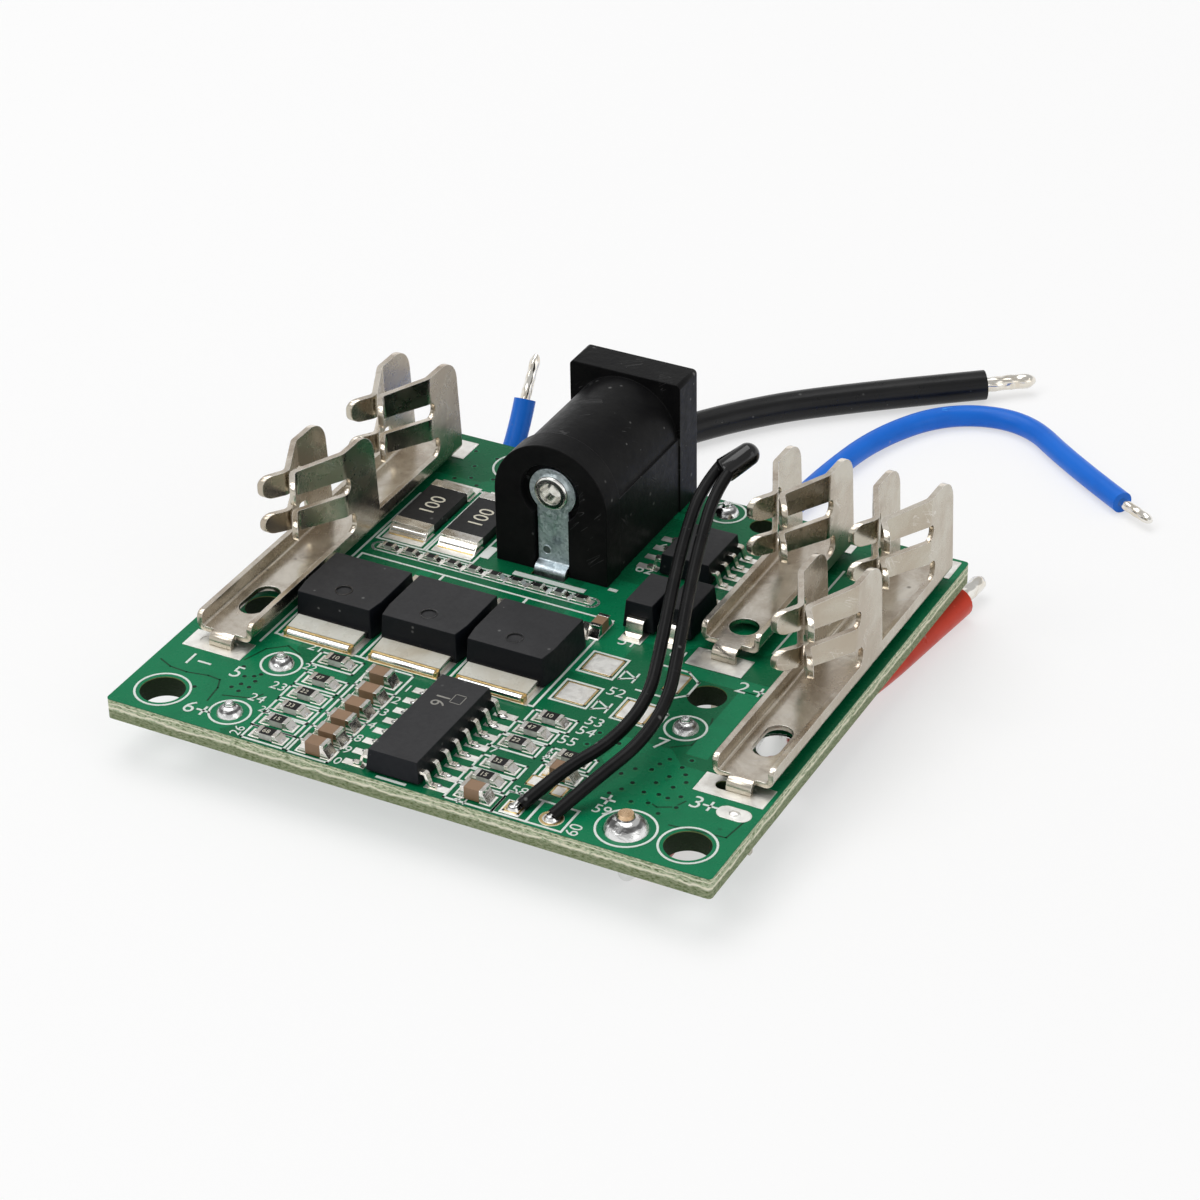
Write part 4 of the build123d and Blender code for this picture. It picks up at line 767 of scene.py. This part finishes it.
RESISTORS = [(-10.95, -10.4), (-10.65, -13.0), (-10.69, -14.9), (-10.64, -16.75), (-10.66, -18.5),
             (-10.5, -20.1), (5.63, -10.04), (5.18, -11.78), (5.0, -13.55), (5.1, -16.2), (5.0, -17.95),
             (8.95, -13.5)]
RESISTOR_CODES = ("10", "47", "22", "33", "15", "68")
CAPACITORS = [(-7.15, -11.0), (-6.74, -13.1), (-6.72, -14.95), (-6.74, -16.75), (-6.65, -18.5),
              (-6.72, -20.1), (5.27, -19.85), (9.24, -15.4)]
PADS = [(5.6, -2.45, 2.4, 2.3), (5.575, -6.35, 2.45, 2.3), (10.25, -6.55, 2.3, 2.3), (11.15, -2.2, 1.3, 2.35),
        (7.95, -16.6, 1.0, 1.2), (9.92, -16.9, 1.0, 1.2)]
PLATED_HOLES = [
    (9.15, -9.75), (9.77, -10.26), (14.75, -10.41), (16.13, -9.92), (15.13, -13.2), (16.37, -13.17),
    (14.62, -15.8), (17.57, -15.1), (16.48, -11.54), (13.75, -13.89), (13.43, -14.83), (15.7, -15.45),
    (13.2, -12.4), (14.2, -12.0), (14.4, -11.2), (12.6, -13.3), (15.9, -10.9), (16.9, -12.3), (17.3, -13.9),
    (14.9, -14.5), (15.9, -14.3), (12.9, -15.6), (10.4, -9.0), (10.9, -10.3), (9.0, -11.3), (16.8, -16.2),
    (15.6, -12.2), (16.6, -14.4), (-15.9, -14.6), (-15.3, -14.3), (-14.9, -14.8), (-15.6, -15.5),
    (-16.0, -16.1), (-14.9, -15.6), (-15.3, -16.3), (-16.6, -13.6), (-15.0, -13.9), (-18.3, -17.2),
    (-16.1, 15.0), (-15.0, 15.6), (-14.1, 14.8), (-13.4, 16.1), (-15.6, 17.2), (-14.6, 18.9), (-16.6, 19.2),
]
PLAIN_NUMBERS = [
    ("1", -20.9, -15.0, 1.35), ("5", -17.1, -15.0, 1.35), ("6", -17.7, -20.0, 1.35),
    ("2", 14.95, -1.3, 1.35), ("3", 18.05, -14.6, 1.35), ("7", 12.9, -9.7, 1.35),
    ("21", -13.9, -9.75, 0.9), ("22", -12.95, -12.0, 0.75), ("23", -13.75, -15.0, 0.9),
    ("24", -14.3, -16.9, 0.9), ("25", -12.9, -17.75, 0.7), ("26", -12.45, -20.9, 0.8, math.pi / 2),
    ("1", -5.3, -11.3, 0.85), ("2", -5.3, -12.9, 0.85), ("3", -5.3, -14.5, 0.85),
    ("4", -5.3, -16.2, 0.85), ("8", -5.3, -17.9, 0.85), ("9", -5.3, -19.4, 0.85),
    ("0", -5.2, -20.75, 0.8), ("41", 4.1, -21.0, 0.8), ("51", 5.1, 0.4, 1.05), ("52", 7.25, -5.45, 1.0),
    ("53", 7.6, -9.25, 1.0), ("54", 7.6, -10.5, 1.0), ("55", 7.0, -12.0, 1.0), ("56", 7.0, -14.0, 0.85),
    ("57", 2.9, -15.0, 0.85), ("58", 6.9, -18.4, 0.9), ("59", 12.7, -17.9, 0.95),
    ("60", 13.2, -20.9, 0.95, math.pi / 2), ("61", 9.0, 0.6, 1.0), ("62", 1.8, 9.4, 1.1),
    ("63", 1.9, 12.6, 1.1), ("8", -9.9, 16.9, 1.2),
]


def frame_parts(shape):
    # each resistor has its outline, cut short near the front edge of the board
    for x, y in RESISTORS:
        outline(shape, x - 1.72, max(y - 0.78, -20.85), x + 1.62, y + 0.78)
    # ladder round the row of capacitors
    left, right, front, back = -8.6, -5.45, -20.9, -9.4
    for x in (left, right):
        stroke(shape, [(x, front), (x, back)])
    for y in (-12.05, -14.0, -15.85, -17.6, -19.3, back, front):
        stroke(shape, [(left, y), (right, y)])
    outline(shape, 3.4, -20.8, 7.0, -18.95)
    outline(shape, 7.5, -16.2, 11.1, -14.6)
    # brackets round the bare pads, and the line beside the transistors
    stroke(shape, [(9.0, -0.6), (11.3, -0.6), (12.45, -1.5), (12.45, -3.2), (11.5, -4.1), (9.0, -4.1)])
    stroke(shape, [(11.65, -5.1), (12.3, -5.9), (12.3, -7.2), (11.65, -8.0)])
    stroke(shape, [(-17.3, -10.3), (-17.3, 12.0)])


def frame_tiny_row(shape):
    left, right, front, back = -16.2, 1.1, 3.68, 4.82
    for y in (front, back):
        stroke(shape, [(left, y), (right, y)], 0.12)
    for step in range(9):
        x = -14.52 + 1.75 * step
        stroke(shape, [(x, 3.75), (x + 0.12, 4.15), (x - 0.05, 4.72)], 0.13)
    middle, radius, steps = 4.25, 0.57, 8
    for x, side in ((left, -1), (right, 1)):
        turns = [step * math.pi / steps for step in range(steps + 1)]
        stroke(shape, [(x + side * radius * math.sin(turn), middle - radius * math.cos(turn))
                       for turn in turns])


def draw_signs(shape):
    # diode symbols
    for x, y in ((7.3, -2.9), (7.3, -6.95)):
        stroke(shape, [(x, y - 0.55), (x, y + 0.55), (x + 1.0, y), (x, y - 0.55)], 0.15)
        stroke(shape, [(x + 1.05, y - 0.55), (x + 1.05, y + 0.55)], 0.15)
    for body, x, y, tall, *turn in PLAIN_NUMBERS:
        digits(shape, body, x, y, tall, *turn)
    # one minus and four plus signs
    half, minus = 0.45, (-19.3, -14.4)
    for x, y in (minus, (-16.15, -19.4), (16.75, -0.7), (19.5, -14.0), (13.2, -16.3)):
        stroke(shape, [(x - half, y), (x + half, y)], 0.18)
        if (x, y) != minus:
            stroke(shape, [(x, y - half), (x, y + half)], 0.18)


def print_marks():
    shape = bmesh.new()
    frame_parts(shape)
    frame_tiny_row(shape)
    draw_signs(shape)
    finish_piece(shape, "print_marks", "print", smooth=False)


def part_marks():
    shape = bmesh.new()
    top = top_of("resistor_bodies") - MARK_SEAT
    for count, (x, y) in enumerate(RESISTORS):
        code = RESISTOR_CODES[count % len(RESISTOR_CODES)]
        digits(shape, code, x - 0.42, y - 0.21, 0.42, 0, top, MARK_THICK)
    top = top_of("shunt_bodies") - MARK_SEAT
    for x in SHUNT_PLACES:
        digits(shape, "100", x + 0.62, 8.55, 1.25, math.pi / 2, top, 0.015)
    finish_piece(shape, "part_marks", "print", smooth=False, finish=CREAM_MARK)
    shape = bmesh.new()
    top = top_of("protection_chip_case") - MARK_SEAT
    digits(shape, "16", -1.5, -12.6, 1.1, -math.pi / 2, top, MARK_THICK)
    outline(shape, -0.35, -13.3, 0.45, -12.3, 0.07, top, MARK_THICK)
    finish_piece(shape, "case_marks", "print", smooth=False, finish=GREY_MARK)


def via_work():
    # each via gets a copper rim and a dark disc as its hole, the disc being painted shade
    rims, holes = bmesh.new(), bmesh.new()
    for x, y in PLATED_HOLES:
        disc(rims, x, y, BOARD_TOP - SEAT, VIA_RIM, 0.024, 16)
        disc(holes, x, y, BOARD_TOP, VIA_HOLE, 0.02, 14)
    finish_piece(rims, "via_rims", "board", finish=LIGHT_POUR)
    finish_piece(holes, "via_holes", "board", finish=VIA_HOLE_SHADE)


def pour_work():
    light, dark = bmesh.new(), bmesh.new()
    for x, y, length, width in ((13.4, -0.45, 7.6, 1.3), (16.2, -5.2, 1.6, 8.4), (2.0, 1.55, 3.2, 1.2)):
        slab(light, x, y, BOARD_TOP - SEAT, length, width, 0.018)
    finish_piece(light, "light_pours", "board", finish=LIGHT_POUR)
    for points in (
        [(-22.3, -15.3), (-21.2, -15.8), (-19.8, -15.9), (-18.2, -15.6), (-17.2, -15.7), (-16.8, -16.6),
         (-16.6, -18.2)],
        [(-17.0, -12.8), (-16.4, -11.0), (-15.2, -10.0), (-13.9, -10.6)],
        [(-16.0, -17.2), (-13.9, -16.6), (-13.6, -15.9)],
        [(14.2, -9.1), (15.3, -8.3), (15.6, -6.4), (15.2, -4.9)],
        [(15.5, -15.2), (16.4, -15.6), (17.4, -15.1), (17.8, -14.2)],
        [(18.0, -17.0), (21.9, -16.6), (22.3, -13.9)],
    ):
        stroke(dark, points, 0.13, BOARD_TOP - SEAT, 0.014)
    finish_piece(dark, "pour_gaps", "board", finish=DARK_GAP)


def pad_work():
    centres, rims = bmesh.new(), bmesh.new()
    for x, y, length, width in PADS:
        slab(centres, x, y, PAD_TOP - SEAT, length - 0.3, width - 0.3, 0.03)
        half_x, half_y = length / 2 - 0.08, width / 2 - 0.08
        outline(rims, x - half_x, y - half_y, x + half_x, y + half_y, RIM_WIDTH, PAD_TOP - SEAT, 0.018)
    outline(rims, 7.62, -20.35, 8.72, -19.35, RIM_WIDTH, PAD_TOP - SEAT, 0.03)
    turned_ring(rims, 10.89, -19.8, [(0.62, 4.74), (0.8, 4.74), (0.8, 4.785), (0.62, 4.785)])
    mound(centres, 21.3, -14.1, PAD_TOP, 0.42, 0.32, 0.16)
    # the slots under the front feet are closed with solder
    for x, y, length in ((-19.69, -11.9, 3.0), (12.45, 2.0, 3.0), (20.7, -11.5, 2.0)):
        slab(centres, x, y, PAD_TOP - 0.09, length, 1.1, 0.06)
    finish_piece(centres, "pad_solder", "tinned_pad")
    finish_piece(rims, "pad_gold_rims", "tinned_pad", finish=GOLD_RIM)


def solder_work():
    shape = bmesh.new()
    seat = BOARD_TOP + 0.04
    for x, y in RESISTORS:
        mound(shape, x + 0.98, y, seat, 0.24, 0.34, 0.15)
        mound(shape, x - 0.98, y, seat, 0.2, 0.34, 0.14)
    for x, y in CAPACITORS:
        mound(shape, x + 1.02, y, seat, 0.26, 0.42, 0.17)
        mound(shape, x - 1.0, y, seat, 0.22, 0.38, 0.16)
    finish_piece(shape, "chip_solder", "solder")
    fillets = bmesh.new()
    low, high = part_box("protection_chip_leads")
    middle = (low.y + high.y) / 2 / MM
    for count in range(8):
        y = middle + LEAD_PITCH * (count - 3.5)
        for x in (low.x / MM + 0.12, high.x / MM - 0.12):
            mound(fillets, x, y, PAD_TOP + 0.02, 0.42, 0.23, 0.12)
    finish_piece(fillets, "lead_fillets", "solder", finish=DOME_SOLDER)
    walls = bmesh.new()
    low, high = BOARD_UNDER - 0.02, BOARD_TOP + 0.02
    section = [(1.40, low), (1.46, low), (1.46, BOARD_TOP), (1.62, BOARD_TOP), (1.62, high), (1.40, high)]
    turned_ring(walls, *RIGHT_WINDOW, section)
    bmesh.ops.recalc_face_normals(walls, faces=walls.faces)
    finish_piece(walls, "plated_windows", "solder")


def tab_work():
    bars, edges, rims, faces = bmesh.new(), bmesh.new(), bmesh.new(), bmesh.new()
    lean = Matrix.Rotation(math.radians(5), 3, "X")
    for count in (1, 2, 3):
        case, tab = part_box("mosfet_case_%d" % count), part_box("mosfet_leads_%d" % count)
        middle = (tab[0].x + tab[1].x) / 2 / MM
        width = (tab[1].x - tab[0].x) / MM
        front = case[0].y / MM - TAB_REACH
        rod(bars, middle, front - 0.14, PAD_TOP + 0.2, width - 0.5, 0.27)
        slab(edges, middle, front + 0.04, PAD_TOP + 0.44, width, 0.1, 0.075)
        # the metal tab's face is a pale plate that is not metal, as painted reflection
        face = slab(faces, 0, 0, 0, width - 0.04, 1.5, 0.05)
        bmesh.ops.rotate(faces, verts=face, cent=(0, 0, 0), matrix=lean)
        bmesh.ops.translate(faces, verts=face, vec=mm(middle, front + 0.86, PAD_TOP + 0.54))
        slab(edges, middle, front - 0.42, PAD_TOP - SEAT, width, 0.1, 0.05)
        for side in (-1, 1):
            slab(edges, middle + side * (width / 2 - 0.1), front - 0.16, PAD_TOP, 0.2, 0.5, 0.42)
        # a darker glossy ring round each dimple is painted shade along its edge
        turned_ring(rims, middle, -5.2, [(0.55, 7.0), (0.65, 7.0), (0.65, 7.062), (0.55, 7.062)])
    for x in SHUNT_PLACES:
        rod(bars, x, 6.5, PAD_TOP + 0.18, 2.9, 0.25)
        slab(edges, x, 6.1, PAD_TOP - SEAT, 2.9, 0.3, 0.03)
    finish_piece(bars, "tab_solder", "solder")
    finish_piece(faces, "tab_faces", "lead_metal", finish=TAB_CREAM)
    finish_piece(edges, "tab_gold_edges", "lead_metal", finish=GOLD_RIM)
    finish_piece(rims, "dimple_rims", "case_plastic", finish=BEAD_GLOSS)


def contact_plate_work():
    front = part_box("jack_contact_plate")[0].y / MM
    upright = Matrix.Rotation(math.pi / 2, 3, "X")
    rim, hollow = bmesh.new(), bmesh.new()
    turned_ring(rim, 0, 0, [(0.28, -0.02), (0.4, -0.02), (0.37, 0.04), (0.31, 0.04)], 28)
    disc(hollow, 0, 0, -SEAT, 0.3, 0.02, 24)
    for shape, name, finish in ((rim, "foot_dimple_rim", None), (hollow, "foot_dimple", HOLLOW_SHADE)):
        bmesh.ops.rotate(shape, verts=shape.verts, cent=(0, 0, 0), matrix=upright)
        bmesh.ops.translate(shape, verts=shape.verts, vec=mm(-3.4, front, 6.84))
        finish_piece(shape, name, "zinc_plate", finish=finish)


def core_end_work():
    shape = bmesh.new()
    disc(shape, *POSITIVE_JOINT, BOARD_TOP + 1.0, 0.6, 0.24, 28, 0.52)
    finish_piece(shape, "positive_core_end", "solder", finish=COPPER_END)


# Studio

def fill_air():
    world = bpy.data.worlds.new("studio_air")
    bpy.context.scene.world = world
    world.use_nodes = True
    tree = world.node_tree
    sky = tree.nodes["Background"]
    sky.inputs[0].default_value = (1, 1, 1, 1)
    sky.inputs[1].default_value = 0.42
    # a white sweep stands low round the object, and the room above it is dim
    toward = split_place(tree, put(tree, "ShaderNodeTexCoord").outputs["Generated"])
    by_camera, by_sight = ways_seen(tree)
    dim = number(tree, "MULTIPLY", fitted(tree, toward[2], 0.26, 0.5), number(tree, "SUBTRACT", 1, by_camera))
    backdrop = put(tree, "ShaderNodeBackground")
    backdrop.inputs[1].default_value = 1.0
    wire_up(tree, blend_colour(tree, dim, (1, 1, 1), (0.54, 0.54, 0.54)), backdrop.inputs[0])
    mixed = put(tree, "ShaderNodeMixShader")
    wire_up(tree, number(tree, "MAXIMUM", by_camera, by_sight), mixed.inputs[0])
    wire_up(tree, sky.outputs[0], mixed.inputs[1])
    wire_up(tree, backdrop.outputs[0], mixed.inputs[2])
    wire_up(tree, mixed.outputs[0], tree.nodes["World Output"].inputs[0])


def hang_lamps():
    for name, place, size, power in (
        ("overhead_softbox", (-0.25, 0.14, 0.97), 0.8, 4.9),
        ("key_softbox", (-0.42, -0.52, 0.74), 0.4, 1.5),
        ("right_fill", (0.85, -0.15, 0.5), 0.6, 0.9),
    ):
        lamp = bpy.data.lights.new(name, "AREA")
        lamp.shape = "SQUARE"
        lamp.size = size
        lamp.energy = power
        holder = bpy.data.objects.new(name, lamp)
        holder.location = place
        holder.rotation_euler = Vector(place).to_track_quat("Z", "Y").to_euler()
        bpy.context.scene.collection.objects.link(holder)


def lay_floor():
    shape = bmesh.new()
    bmesh.ops.create_grid(shape, x_segments=1, y_segments=1, size=3)
    mesh = bpy.data.meshes.new("floor")
    shape.to_mesh(mesh)
    shape.free()
    floor = bpy.data.objects.new("floor", mesh)
    bpy.context.scene.collection.objects.link(floor)
    material, tree, shader = start_finish("studio_floor", Specular_IOR_Level=0.2)
    shade = noise(tree, object_point(tree), 3)[0]
    white = blend_colour(tree, shade, (0.96, 0.96, 0.96), (0.98, 0.98, 0.98))
    wire_up(tree, white, shader.inputs["Base Color"])
    shader.inputs["Roughness"].default_value = 0.7
    # what looks at the floor sees it as partly lit paper, and lamps still shade it
    by_sight = number(tree, "MAXIMUM", *ways_seen(tree))
    paper = put(tree, "ShaderNodeEmission")
    paper.inputs[0].default_value = (1, 1, 1, 1)
    paper.inputs[1].default_value = 1.0
    mixed = put(tree, "ShaderNodeMixShader")
    wire_up(tree, number(tree, "MULTIPLY", by_sight, 0.58), mixed.inputs[0])
    wire_up(tree, shader.outputs[0], mixed.inputs[1])
    wire_up(tree, paper.outputs[0], mixed.inputs[2])
    wire_up(tree, mixed.outputs[0], tree.nodes["Material Output"].inputs[0])
    mesh.materials.append(material)


aim_camera()
dress_cad()
lay_leads()
for terminal in ("terminal_p_minus", "terminal_c_plus", "terminal_p_plus"):
    soften_node(terminal, "nickel", 0.00006)
soften_node("jack_housing", "jack_plastic", 0.00012)
for case in ("mosfet_case_1", "mosfet_case_2", "mosfet_case_3", "protection_chip_case", "driver_chip_case",
             "diode_cases"):
    soften_node(case, "case_plastic", 0.00008)
for joint in ("joint_b2", "joint_b_plus", "joint_b3", "joint_positive", "joint_rear", "joint_b_minus",
              "sensor_joints", "underside_solder"):
    soften_node(joint, "solder", 0, finish=DOME_SOLDER)
print_marks()
part_marks()
via_work()
pour_work()
pad_work()
solder_work()
tab_work()
contact_plate_work()
core_end_work()
bpy.context.scene.view_settings.view_transform = "Standard"
fill_air()
hang_lamps()
lay_floor()

bpy.context.view_layer.update()
